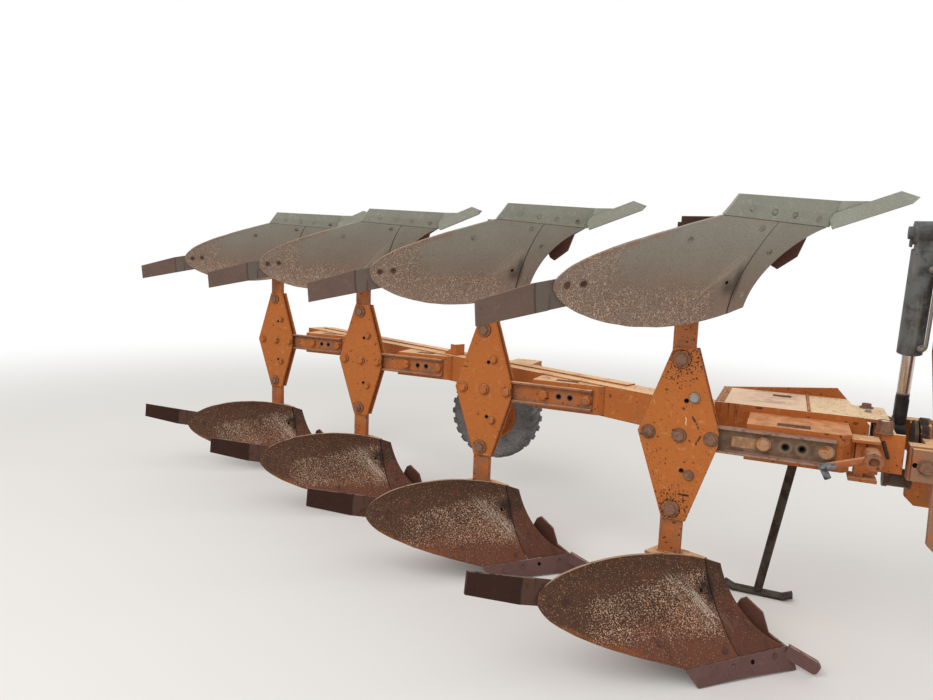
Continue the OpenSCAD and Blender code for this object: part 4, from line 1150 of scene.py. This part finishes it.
class PLOUGH_OT_board_bolts(Piece):
    """Countersunk bolts of the boards, shins, shares and points, and painted shade in the open holes"""

    bl_idname = "plough.board_bolts"
    bl_label = "Board bolts"

    def execute(self, context):
        size = settings()[2].share_bolt
        head = once("share_bolts", worn_metal, srgb(96, 66, 58), 0.75, 0.65, 0.0, srgb(84, 58, 50))
        hazy = once("share_bolts_dusty", worn_metal, srgb(136, 132, 120), 0.6, 0.7, 0.0, srgb(122, 116, 104))
        spots = {LOWER: SHARE_BOLTS + SHIN_BOLTS + (BOARD_BOLT,)}
        spots[UPPER] = spots[LOWER] + (LOST_BOLT,)
        bodies = [(i, side) for side in (LOWER, UPPER) for i in STATIONS]
        for side, material in ((LOWER, head), (UPPER, hazy)):
            places = [on_board(i, side, t, h) for i in STATIONS for t, h in spots[side]]
            set_bolts(f"share_bolts_{side}", countersunk_profile(size), places, material, slot="share_rust")
        places = [on_board(i, side, t, h, lift=-0.0018) for i, side in bodies for t, h in TAIL_BOLTS]
        set_bolts("tail_bolts", countersunk_profile(size * 0.95), places, head, slot="share_rust", seed=4)
        # Dark discs in the open seam holes and share bolt holes: painted shade of their insides
        places = [on_board(i, side, *SEAM_HOLE, lift=-0.0034) for i, side in bodies]
        close_holes("seam_hole_shade", 0.0115, places, slot="soil_rust")
        places = [on_board(i, LOWER, *LOST_BOLT, lift=0.0001) for i in STATIONS]
        close_holes("share_hole_shade", 0.0085, places, slot="share_rust")
        return {"FINISHED"}


def leg_places(i):
    """Pivot, clamp, shear and spare holes of one station's leg plates, on the near face."""
    return (
        [at_station(i, (PIVOT[0], 0, s * PIVOT[1])) for s in (-1, 1)],
        [at_station(i, (k * ROW_PITCH, 0, 0)) for k in (-1, 0, 1)],
        [at_station(i, (SHEAR[0], 0, s * SHEAR[1])) for s in (-1, 1)],
        [at_station(i, (SPARE[0], 0, s * SPARE[1])) for s in (-1, 1)],
    )


class PLOUGH_OT_leg_bolts(Piece):
    """Pivot, clamp and shear bolts of the leg plates with washers, nuts and painted shadows in the open spare
    holes
    """

    bl_idname = "plough.leg_bolts"
    bl_label = "Leg bolts"

    def execute(self, context):
        size = settings()[2]
        rusted, zinc, kept = rusty_bolts(), grey_bolts(), painted_bolts()
        pivots, rows, shears, spares = (sum(found, []) for found in zip(*(leg_places(i) for i in STATIONS)))
        first_rows, first_shears = leg_places(0)[1:3]

        def near(points, sunk=0.0):
            return [(p + np.array([0, sunk, 0]), (0, -1, 0)) for p in points]

        def far(points):
            return [(p + np.array([0, PACK_T, 0]), (0, 1, 0)) for p in points]

        head = 0.010
        pivot = (size.pivot_flats, size.pivot_washer, 0.0075)
        row = (size.row_flats, size.row_washer, 0.0065)
        shear = (size.shear_flats, size.shear_flats + 0.010, 0.004)
        for seed, (name, profile, places, material) in enumerate((
            ("pivot_bolts", hex_profile(*pivot, head), near(pivots), rusted),
            ("pivot_nuts", hex_profile(*pivot, 0.016, stud=0.026, stud_h=0.007), far(pivots), rusted),
            ("clamp_bolts_first", hex_profile(*row, head), near(first_rows), rusted),
            ("clamp_bolts", hex_profile(*row, head), near(rows[len(first_rows):]), kept),
            ("clamp_nuts", hex_profile(*row, 0.014, stud=0.022, stud_h=0.006), far(rows), rusted),
            ("shear_bolt_upper", hex_profile(*shear, head), near(first_shears[1:]), zinc),
            ("shear_bolt_lower", hex_profile(*shear, head), near(first_shears[:1]), rusted),
            ("shear_bolts", hex_profile(*shear, head), near(shears[len(first_shears):]), kept),
            ("shear_nuts", hex_profile(*shear, 0.014, stud=0.019, stud_h=0.010), far(shears), rusted),
        ), 2):
            set_bolts(name, profile, places, material, seed=seed)
        close_holes("spare_hole_shadows", 0.0073, near(spares, PLATE_T - 0.002))
        return {"FINISHED"}


class PLOUGH_OT_arm_bolts(Piece):
    """Bolts that hold the arms on their brackets, and painted shadows in the arms' open holes"""

    bl_idname = "plough.arm_bolts"
    bl_label = "Arm bolts"

    def execute(self, context):
        def places(stations, along, sunk=0.0):
            return [(at_station(i, (x, ARM_FACE + sunk, 0)), (0, -1, 0)) for i in stations for x in along]

        head = [
            (0, -0.001), (0.0255, -0.001), (0.0255, 0.004), (0.0245, 0.005), (0.0215, 0.0052),
            (0.0215, 0.013), (0.0195, 0.0155), (0.006, 0.0165), (0, 0.0165),
        ]
        pale = once("pale_bolts", worn_metal, srgb(172, 132, 100), 0.45, 0.6, 0.1, srgb(196, 120, 60))
        first, others = places(STATIONS[:1], ARM_BOLTS), places(STATIONS[1:], ARM_BOLTS)
        set_bolts("arm_bolts", head, others, painted_bolts(), slot="orange_paint", seed=9)
        set_bolts("arm_bolts_bare", head, first, pale, seed=10)
        close_holes("arm_hole_shadows", 0.0083, places(STATIONS, ARM_HOLES, 0.0076))
        return {"FINISHED"}


class PLOUGH_OT_tyre(Piece):
    """Depth wheel tyre: rounded section with staggered shoulder lugs and a ribbed side wall"""

    bl_idname = "plough.tyre"
    bl_label = "Tyre"

    SECTION = (
        (0.1503, -0.0700), (0.1600, -0.0790), (0.1800, -0.0865), (0.2050, -0.0880), (0.2300, -0.0850),
        (0.2500, -0.0780), (0.2610, -0.0640), (0.2655, -0.0400), (0.2665, 0.0000),
    )

    def execute(self, context):
        """Skin of rings (r cos u, w, r sin u), r and w along the section, lifted by the lugs.

        The bead closes it inside.
        """
        size = settings()[2]
        around, steps, closing = 26 * size.lugs, 60, 5
        half = np.array(self.SECTION)
        section = np.concatenate([half, half[-2::-1] * [1, -1]])
        at = np.r_[0, np.cumsum(np.linalg.norm(np.diff(section, axis=0), axis=1))]
        s = np.linspace(0, at[-1], steps)
        radius, width = np.interp(s, at, section[:, 0]), np.interp(s, at, section[:, 1])
        u = np.arange(around)[:, None] * 2 * math.pi / around
        lug, groove = self.lugs(u, radius[None], width[None], size.lugs)
        r = radius[None] + lug * size.lug_depth * 0.93
        w = width[None] + np.sign(width)[None] * lug * 0.0015 * (np.abs(width)[None] > 0.06)
        bead_r, bead_w = self.SECTION[0][0], np.linspace(0.069, -0.069, closing)[None]
        r = np.concatenate([r, bead_r + 0 * u + 0 * bead_w], 1)
        w = np.concatenate([w, bead_w + 0 * u], 1)
        skin = np.stack([r * np.cos(u), w, r * np.sin(u)], -1) + middle_of("tyre")
        marks = {"groove": np.concatenate([groove, np.ones((around, closing))], 1)}
        shape, rubber = tube(skin, closed=True), dusty_rubber("dusty_rubber")
        made = add_piece("tyre_tread", shape, rubber, "depth_wheel", marks, sharp=38)
        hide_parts("tyre")
        return {"FINISHED"}

    @staticmethod
    def lugs(u, radius, width, count):
        """Lug height from 0 to 1: blocks on each shoulder, half a pitch apart, slanting to the middle."""
        w = np.abs(width)
        side = np.where(width < 0, 0.0, 0.5)
        phase = (u * count / (2 * math.pi) + side + 5.5 * w) % 1.0
        block = smooth(np.abs(phase - 0.5), 0.30, 0.23)
        reach = smooth(w, 0.004, 0.012) * smooth(radius, 0.232, 0.246)
        rib = 0.14 * smooth(np.abs(radius - 0.212), 0.006, 0.002) * (w > 0.05)
        return np.maximum(block * reach, rib), 1 - block * reach


def middle_of(node):
    """Middle of a solid's box."""
    low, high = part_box(node)
    return (np.array(low) + np.array(high)) / 2


class PLOUGH_OT_welds(Piece):
    """Weld beads where plates, brackets, beam, housing and legs meet"""

    bl_idname = "plough.welds"
    bl_label = "Welds"

    def execute(self, context):
        r = settings()[2].weld
        frame = []
        for i in STATIONS:
            if i:
                frame.append(self.bracket_seam(i))
            frame += [self.leg_seam(i, s * (BODY_REACH - LEG_FOOT)) for s in (-1, 1)]
        frame.append(self.beam_seam())
        deck = [[(0.424, 0.275, 0.090), (0.420, 0.645, 0.090)]]
        deck += [[(x, 0.280, 0.088), (x, 0.650, 0.088)] for x in (0.096, 0.108, 0.119)]
        beads = [bead(path, r * 0.85, k) for k, path in enumerate(frame)]
        beads += [bead(at_station(0, path), r, 30 + k) for k, path in enumerate(deck)]
        paint = once("weld_paint", painted, 0.45, 0.9, deep=0.6)
        add_piece("frame_welds", joined(beads), paint, "frame")
        beads = [bead(path, r, 50 + k) for k, path in enumerate(self.headstock_seams())]
        add_piece("headstock_welds", joined(beads), paint, "headstock")
        soot = once("burnt_weld", worn_metal, srgb(70, 50, 40), 0.6, 0.75, 0.0, srgb(56, 40, 32))
        run = at_station(0, [(0.656, 0.1395, 0.042), (0.667, 0.1395, 0.010), (0.677, 0.1395, -0.019)])
        add_piece("carriage_weld", bead(run, r * 1.1, 70), soot, "frame")
        return {"FINISHED"}

    @staticmethod
    def bracket_seam(station):
        """Ring where a bracket stands on the beam's slanting side."""
        (back, ahead), half = BRACKET_X, 0.065
        corners = ((back, -half), (back, half), (ahead, half), (ahead, -half), (back, -half))
        return at_station(station, [(x, BEAM_Y - 0.07595 - BEAM_SLOPE * x, z) for x, z in corners])

    @staticmethod
    def leg_seam(station, height):
        """Ring where a leg stands on its frog's flange."""
        back, ahead, near, far = -0.0475, 0.0335, PLATE_T, PLATE_T + LEG_T
        ring = ((back, near), (back, far), (ahead, far), (ahead, near), (back, near))
        return at_station(station, [(x, y, height) for x, y in ring])

    @staticmethod
    def beam_seam():
        """Ring where the beam meets the front frame."""
        x, half = 0.089, 0.07
        y = BEAM_Y - BEAM_SLOPE * 0.088
        ring = ((-1, -1), (-1, 1), (1, 1), (1, -1), (-1, -1))
        return at_station(0, [(x, y + a * BEAM_HALF, b * half) for a, b in ring])

    @staticmethod
    def headstock_seams():
        """Ring of the housing's collar, the mast's two feet and the corners of the end blocks."""
        u, radius = np.linspace(0, 2 * math.pi, 60), 0.0755
        yield np.stack([0 * u - 0.167, radius * np.cos(u), AXIS_H + radius * np.sin(u)], 1)
        for s in (-1, 1):
            foot, block = s * 0.0525, s * 0.214
            yield np.array([(-0.145, foot, AXIS_H + 0.054), (-0.015, foot, AXIS_H + 0.054)])
            low, high = AXIS_H - 0.088, AXIS_H + 0.030
            yield np.array([(-0.205, block, low), (-0.205, block, high), (-0.085, block, high)])


class PLOUGH_OT_headstock_fittings(Piece):
    """Bolts, painted shade in the open holes, grease nipples and linch pins of the headstock"""

    bl_idname = "plough.headstock_fittings"
    bl_label = "Headstock fittings"

    def execute(self, context):
        zinc = grey_bolts()
        block_face, housing, pin_hole, ring_r = 0.299, 0.0745, 0.4425, 0.0225

        def on_blocks(x, z):
            return [(np.array([x, s * block_face, z]), (0, s, 0)) for s in (-1, 1)]

        head = hex_profile(0.040, 0.054, 0.005, 0.016)
        set_bolts("block_bolts", head, on_blocks(-0.214, 0.253), rusty_bolts(), "headstock", seed=20)
        # Dark discs in the blocks' open holes: painted shade
        close_holes("block_hole_shade", 0.0085, on_blocks(-0.246, 0.256), "headstock")
        nipple = [
            (0, -0.002), (0.0055, -0.002), (0.0055, 0.004, 0.0055), (0.0035, 0.005), (0.0030, 0.010),
            (0.0040, 0.012), (0.0025, 0.0155), (0, 0.016),
        ]
        nipples = [
            (np.array([-0.060, 0, AXIS_H - housing]), (0, 0, -1)),
            (np.array([-0.120, -housing, AXIS_H]), (0, -1, 0)),
        ]
        set_bolts("grease_nipples", nipple, nipples, zinc, "headstock", around=12)
        a = np.linspace(-0.45 * math.pi, 1.45 * math.pi, 40)
        linch = []
        for s in (-1, 1):
            y = s * pin_hole
            ring = np.stack([ring_r * np.cos(a), 0 * a + y + s * 0.0075, ring_r * np.sin(a)], 1)
            linch.append(along_path(resample([(0, y, -0.024), (0, y, 0.022)], 0.004), 0.0048, 12))
            linch.append(along_path(ring, 0.0021, 8))
        add_piece("linch_pins", joined(linch), zinc, "headstock")
        return {"FINISHED"}


class PLOUGH_OT_cylinder_pipe(Piece):
    """Steel pipe and unions along the turnover cylinder's barrel"""

    bl_idname = "plough.cylinder_pipe"
    bl_label = "Cylinder pipe"

    def execute(self, context):
        foot = np.array(CYLINDER_FOOT)
        up = CYLINDER_TOP - foot
        up /= np.linalg.norm(up)
        side = np.array([0.62, -0.785, 0.0])
        side -= up * (side @ up)
        side /= np.linalg.norm(side)
        low, high, barrel, pipe = 0.352, 0.652, 0.0405, 0.0062
        corners = (
            (low, barrel), (low, 0.0620), (0.365, 0.0680), (0.600, 0.0680), (0.640, 0.0620), (high, 0.0560),
            (high, barrel),
        )
        corners = np.array([foot + up * rise + side * out for rise, out in corners])
        s = np.linspace(0, len(corners) - 1, 90)
        path = np.stack([np.interp(s, np.arange(len(corners)), corners[:, k]) for k in range(3)], 1)
        for _ in range(6):
            path[1:-1] = (path[:-2] + 2 * path[1:-1] + path[2:]) / 4
        union = [
            (0, 0.0), (0.013, 0.0), (0.013, 0.006), (0.0125, 0.006, 0.0105), (0.0125, 0.017, 0.0105),
            (0.009, 0.019), (pipe, 0.021), (0, 0.021),
        ]
        unions = set_pieces(union, [(foot + up * rise + side * 0.041, side) for rise in (low, high)])
        shape = joined([along_path(path, pipe, 14), unions])
        add_piece("cylinder_pipe", shape, grey_bolts(), "cylinder_barrel")
        return {"FINISHED"}


def slot_fill(centre, half, radius, low, high):
    """Slot shape: r (cos u, sin u), its halves drawn apart along x, carried from low to high."""
    u = (np.arange(24) + 0.5) * math.pi / 12
    x = np.sign(np.cos(u)) * (half - radius) + radius * np.cos(u)
    outline = np.stack([x, radius * np.sin(u), 0 * u], -1)
    ends = ((0, low), (1, low), (1, high), (0, high))
    return tube(np.stack([np.asarray(centre) + outline * grow + np.array([0, 0, z]) for grow, z in ends]))


class PLOUGH_OT_frame_fittings(Piece):
    """Bolts and stop of the carriage, and dark fills in the slots of the brackets and the deck as painted
    shade
    """

    bl_idname = "plough.frame_fittings"
    bl_label = "Frame fittings"

    def execute(self, context):
        deck = 0.0777
        for seed, (name, size, place, material) in enumerate((
            ("carriage_bolts", (0.034, 0.050, 0.005, 0.013), (0.633, 0.560, deck), rusty_bolts()),
            ("carriage_nuts", (0.019, 0.026, 0.003, 0.008), (0.633, 0.470, deck), grey_bolts()),
            ("carriage_stop", (0.0445, 0.057, 0.004, 0.040), (0.657, 0.149, 0.068), rusty_bolts()),
        ), 30):
            set_bolts(name, hex_profile(*size), [(at_station(0, place), (0, 0, 1))], material, seed=seed)
        # Dark fills in the slots of the brackets and the deck: painted shade of the slots' insides
        slots = (
            ([at_station(i, BRACKET_SLOT) for i in STATIONS], 0.0498, 0.0078, 0.0532, 0.0615),
            ([at_station(0, DECK_SLOT)], 0.0298, 0.0068, 0.079, 0.086),
        )
        slot_shade_fills = []
        for s in (-1, 1):
            for centres, half, radius, inner, outer in slots:
                low, high = sorted((s * inner, s * outer))
                slot_shade_fills += [slot_fill(centre, half, radius, low, high) for centre in centres]
        add_piece("slot_shade_fill", joined(slot_shade_fills), once("hole_dark", painted_void_shade), "frame")
        return {"FINISHED"}


class PLOUGH_OT_wheel_fittings(Piece):
    """Wheel nuts of the depth wheel"""

    bl_idname = "plough.wheel_fittings"
    bl_label = "Wheel fittings"

    def execute(self, context):
        centre, radius = middle_of("tyre"), 0.070
        turns = np.arange(5) * 2 * math.pi / 5 + 0.3
        places = [
            (centre + np.array([radius * math.cos(a), s * 0.005, radius * math.sin(a)]), (0, s, 0))
            for s in (-1, 1) for a in turns
        ]
        nut = hex_profile(0.022, 0.028, 0.003, 0.012, stud=0.014, stud_h=0.006)
        set_bolts("wheel_nuts", nut, places, rusty_bolts(), "depth_wheel", seed=40)
        return {"FINISHED"}


def leg_plate_paint(station):
    """Paint of a station's leg plates: dark rings round its bolts and holes, and on the first one chips and
    scratches.
    """
    paint = settings()[0]
    x, _, z = place_of(station)
    pivots, rows, shears, spares = leg_places(station)
    rims = (
        (pivots, 0.0335, 0.0365, 0.8), (rows, 0.0256, 0.0285, 0.7), (shears, 0.0187, 0.0215, 0.7),
        (spares, 0.0078, 0.0115, 0.8),
    )
    first = {
        "chips": 0.9,
        "heavy": pivots,
        "scores": (
            (x + 0.055, z + 0.054, 0.0154, -0.0257, 0.0045, paint.chip),
            (x + 0.068, z - 0.010, 0.0092, 0.0205, 0.0045, paint.chip),
            (x + 0.020, z + 0.055, 0.0, 0.0175, 0.0020, paint.faded_and_sky_lit),
            (x + 0.030, z - 0.220, 0.022, 0.0, 0.0060, SOOT_AND_SHADE),
        ),
    }
    worn = first if station == 0 else {"chips": 0.1}
    return painted(f"leg_plate_paint_{station + 1}", fade_and_sky_light=0.5, rims=rims, deep=0.12, grime=0.10, **worn)


class PLOUGH_OT_finishes(Piece):
    """Gives every solid of the frame its weathered finish"""

    bl_idname = "plough.finishes"
    bl_label = "Finishes"

    def execute(self, context):
        for i in STATIONS:
            self.wear(leg_plate_paint(i), f"leg_plates_{i + 1}")
        for name, worn, fade_and_sky_light, chips, deep, grime, nodes in (
            ("leg_paint", None, 0.5, 1.0, 0.4, 0.9, "legs_lower legs_upper"),
            ("frog_paint", frog_soil_and_shade, 0.8, 0.8, 0.4, 0.25, "frogs_lower frogs_upper"),
            ("beam_paint", None, 0.95, 0.5, 0.6, 0.3, "main_beam wheel_bracket wheel_arm"),
            ("bracket_paint", slot_shade_marks, 0.8, 0.7, 0.5, 0.4, "beam_brackets"),
            ("adjuster_paint", None, 0.75, 0.9, 0.4, 0.6, "width_adjuster"),
            ("deck_paint", deck_wear, 0.95, 0.7, 0.45, 0.25, "front_frame carriage"),
            ("arm_paint", dirty_arm, 0.7, 1.0, 0.5, 0.8, "arm_2 arm_3 arm_4"),
            ("bare_arm_paint", bare_arm, 0.6, 1.0, 0.35, 0.25, "arm_1"),
            ("headstock_paint", greased, 0.9, 0.8, 0.4, 0.7, "headstock mast lower_link_arms"),
            ("rim_paint", None, 0.9, 0.8, 0.2, 0.4, "wheel_rim"),
            ("handle_paint", grey_tip, 0.5, 1.0, 0.8, 1.1, "crank_handle"),
        ):
            self.wear(painted(name, fade_and_sky_light, chips, deep=deep, worn=worn, grime=grime), *nodes.split())
        self.wear(worn_metal("worn_shaft", srgb(84, 72, 62), 0.55, rust=srgb(92, 62, 46)), "turnover_shaft")
        steel = worn_metal("stand_steel", srgb(70, 62, 54), 0.6, 0.7, 0.1, srgb(58, 44, 36))
        self.wear(steel, "parking_stand")
        self.wear(dark_paint("dark_cylinder_paint"), "cylinder_barrel")
        self.wear(chromed("chromed_rod"), "cylinder_rod")
        self.wear(smooth_rust("share_rust_lower"), "shares_lower", "points_lower")
        hazy = smooth_rust("share_rust_upper", srgb(146, 147, 135), 0.2, 0.2)
        self.wear(hazy, "shares_upper", "points_upper")
        self.wear(smooth_rust("landside_rust", srgb(92, 58, 46), 0.6), "landsides_lower", "landsides_upper")
        for side, base, dark, pale, root in (
            (LOWER, srgb(54, 31, 23), 0.35, 0.4, srgb(88, 62, 52)),
            (UPPER, srgb(106, 86, 76), 0.3, 0.3, srgb(102, 92, 84)),
        ):
            inside = board_point(TIP[0] + ROOT_FAR, TIP[1])
            roots = [at_body(i, side, inside) for i in STATIONS]
            self.wear(smooth_rust(f"tail_rust_{side}", base, dark, pale, roots, root), f"tails_{side}")
        return {"FINISHED"}

    @staticmethod
    def wear(material, *names):
        """Puts one finish on the solids of those names."""
        for name in names:
            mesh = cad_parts[name].data
            mesh.materials.clear()
            mesh.materials.append(material)


class PLOUGH_OT_stage(Piece):
    """Pale floor, white surroundings, lamps and the camera"""

    bl_idname = "plough.stage"
    bl_label = "Stage"

    def execute(self, context):
        view = settings()[3]
        scene = context.scene
        scene.view_settings.view_transform = "Standard"
        self.floor()
        self.surroundings(scene, view)
        target = (FLOOR_X, 0.2, 0.2)
        self.lamp("key_lamp", (-3.5, -6.5, 6.0), target, 5.0, view.key)
        self.lamp("fill_lamp", (5.0, 4.0, 5.0), target, 5.0, view.key * 0.35)
        self.camera(scene, view)
        return {"FINISHED"}

    @staticmethod
    def lamp(name, place, target, size, power):
        """Square area lamp that shines from its place at the target."""
        light = bpy.data.lights.new(name, "AREA")
        light.energy, light.size = power, size
        made = object_of(name, light)
        look = np.array(target) - np.array(place)
        made.matrix_world = Matrix(np.column_stack(frames(-look)).tolist()).to_4x4()
        made.location = place

    @staticmethod
    def white_rays(shader):
        """1 for the rays of the camera, of gloss and of clear pieces."""
        path = shader.tree.nodes.new("ShaderNodeLightPath").outputs
        rays = ("Is Camera Ray", "Is Glossy Ray", "Is Transmission Ray")
        seen, glossy, clear = (Value(shader, path[name]) for name in rays)
        return seen.most(glossy).most(clear)

    def floor(self):
        """Disc of rings (r cos u, r sin u) just below the soles, its far part fading to white."""
        radius = np.array([0.0, 1, 2, 3, 4, 6, 9, 14, 30, 60])[:, None]
        u = np.arange(96) * 2 * math.pi / 96
        level = 0 * radius + 0 * u + SOLE_H - 0.0002
        rings = np.stack([radius * np.cos(u) + FLOOR_X, radius * np.sin(u), level], -1)
        verts, faces = tube(rings)
        mesh = mesh_of("floor", verts, faces[:, ::-1])
        merge_doubles(mesh, outward=False)
        mesh.shade_flat()
        s = Shader.material("pale_floor")
        away = s.nearest([(FLOOR_X, 0.0, SOLE_H)])
        pale = s.node("BsdfDiffuse", None, {"Color": (0.82, 0.81, 0.79, 1)})
        white = s.node("Emission", None, {"Color": (1, 1, 1, 1), "Strength": 1.0})
        share = away.step(4.0, 9.0) * self.white_rays(s)
        s.node("OutputMaterial", None, [s.node("MixShader", None, [share, pale, white])])
        mesh.materials.append(s.owner)
        made = object_of("floor", mesh)

    def surroundings(self, scene, view):
        """Even light on the plough, and plain white where camera, gloss and clear pieces look past it."""
        world = bpy.data.worlds.new("white_room")
        scene.world = world
        s = Shader(world)
        even = s.node("Background", None, {"Color": (1.0, 0.985, 0.965, 1), "Strength": view.sky})
        white = s.node("Background", None, {"Color": (1, 1, 1, 1), "Strength": 1.0})
        mixed = s.node("MixShader", None, [self.white_rays(s), even, white])
        s.node("OutputWorld", None, [mixed])

    @staticmethod
    def camera(scene, view):
        """Axes of the camera from yaw, pitch and roll: forward, right and down, turned by the roll."""
        yaw, pitch, roll = view.yaw, view.pitch, view.roll
        level = math.cos(pitch)
        ahead = np.array([-math.sin(yaw) * level, math.cos(yaw) * level, -math.sin(pitch)])
        right = np.array([math.cos(yaw), math.sin(yaw), 0.0])
        down = np.cross(ahead, right)
        across = right * math.cos(roll) + down * math.sin(roll)
        below = down * math.cos(roll) - right * math.sin(roll)
        data = bpy.data.cameras.new("camera")
        data.sensor_width, data.lens = 36.0, view.lens
        data.clip_end = 200.0
        made = object_of("camera", data)
        made.matrix_world = Matrix(np.column_stack([across, -below, -ahead]).tolist()).to_4x4()
        made.location = view.place
        scene.camera = made


class PLOUGH_PT_panel(bpy.types.Panel):
    """Plough pieces"""

    bl_label = "Plough"
    bl_space_type = "VIEW_3D"
    bl_region_type = "UI"
    bl_category = "Plough"

    def draw(self, context):
        for operator in OPERATORS:
            self.layout.operator(operator.bl_idname)
        for name in GROUPS:
            group = getattr(context.scene, name)
            box = self.layout.box()
            for key in group.__annotations__:
                box.prop(group, key)


GROUPS = {
    "plough_paint": PloughPaint,
    "plough_wear": PloughWear,
    "plough_fittings": PloughFittings,
    "plough_view": PloughView,
}
OPERATORS = (
    PLOUGH_OT_stage, PLOUGH_OT_finishes, PLOUGH_OT_boards, PLOUGH_OT_board_bolts, PLOUGH_OT_leg_bolts,
    PLOUGH_OT_arm_bolts, PLOUGH_OT_tyre, PLOUGH_OT_welds, PLOUGH_OT_headstock_fittings,
    PLOUGH_OT_cylinder_pipe, PLOUGH_OT_frame_fittings, PLOUGH_OT_wheel_fittings,
)


def register():
    for group in (*GROUPS.values(), *OPERATORS, PLOUGH_PT_panel):
        bpy.utils.register_class(group)
    for name, group in GROUPS.items():
        setattr(bpy.types.Scene, name, bpy.props.PointerProperty(type=group))


def unregister():
    for name in GROUPS:
        delattr(bpy.types.Scene, name)
    for group in reversed((*GROUPS.values(), *OPERATORS, PLOUGH_PT_panel)):
        bpy.utils.unregister_class(group)


def main():
    register()
    for operator in OPERATORS:
        group, name = operator.bl_idname.split(".")
        getattr(getattr(bpy.ops, group), name)()


if __name__ == "__main__":
    main()
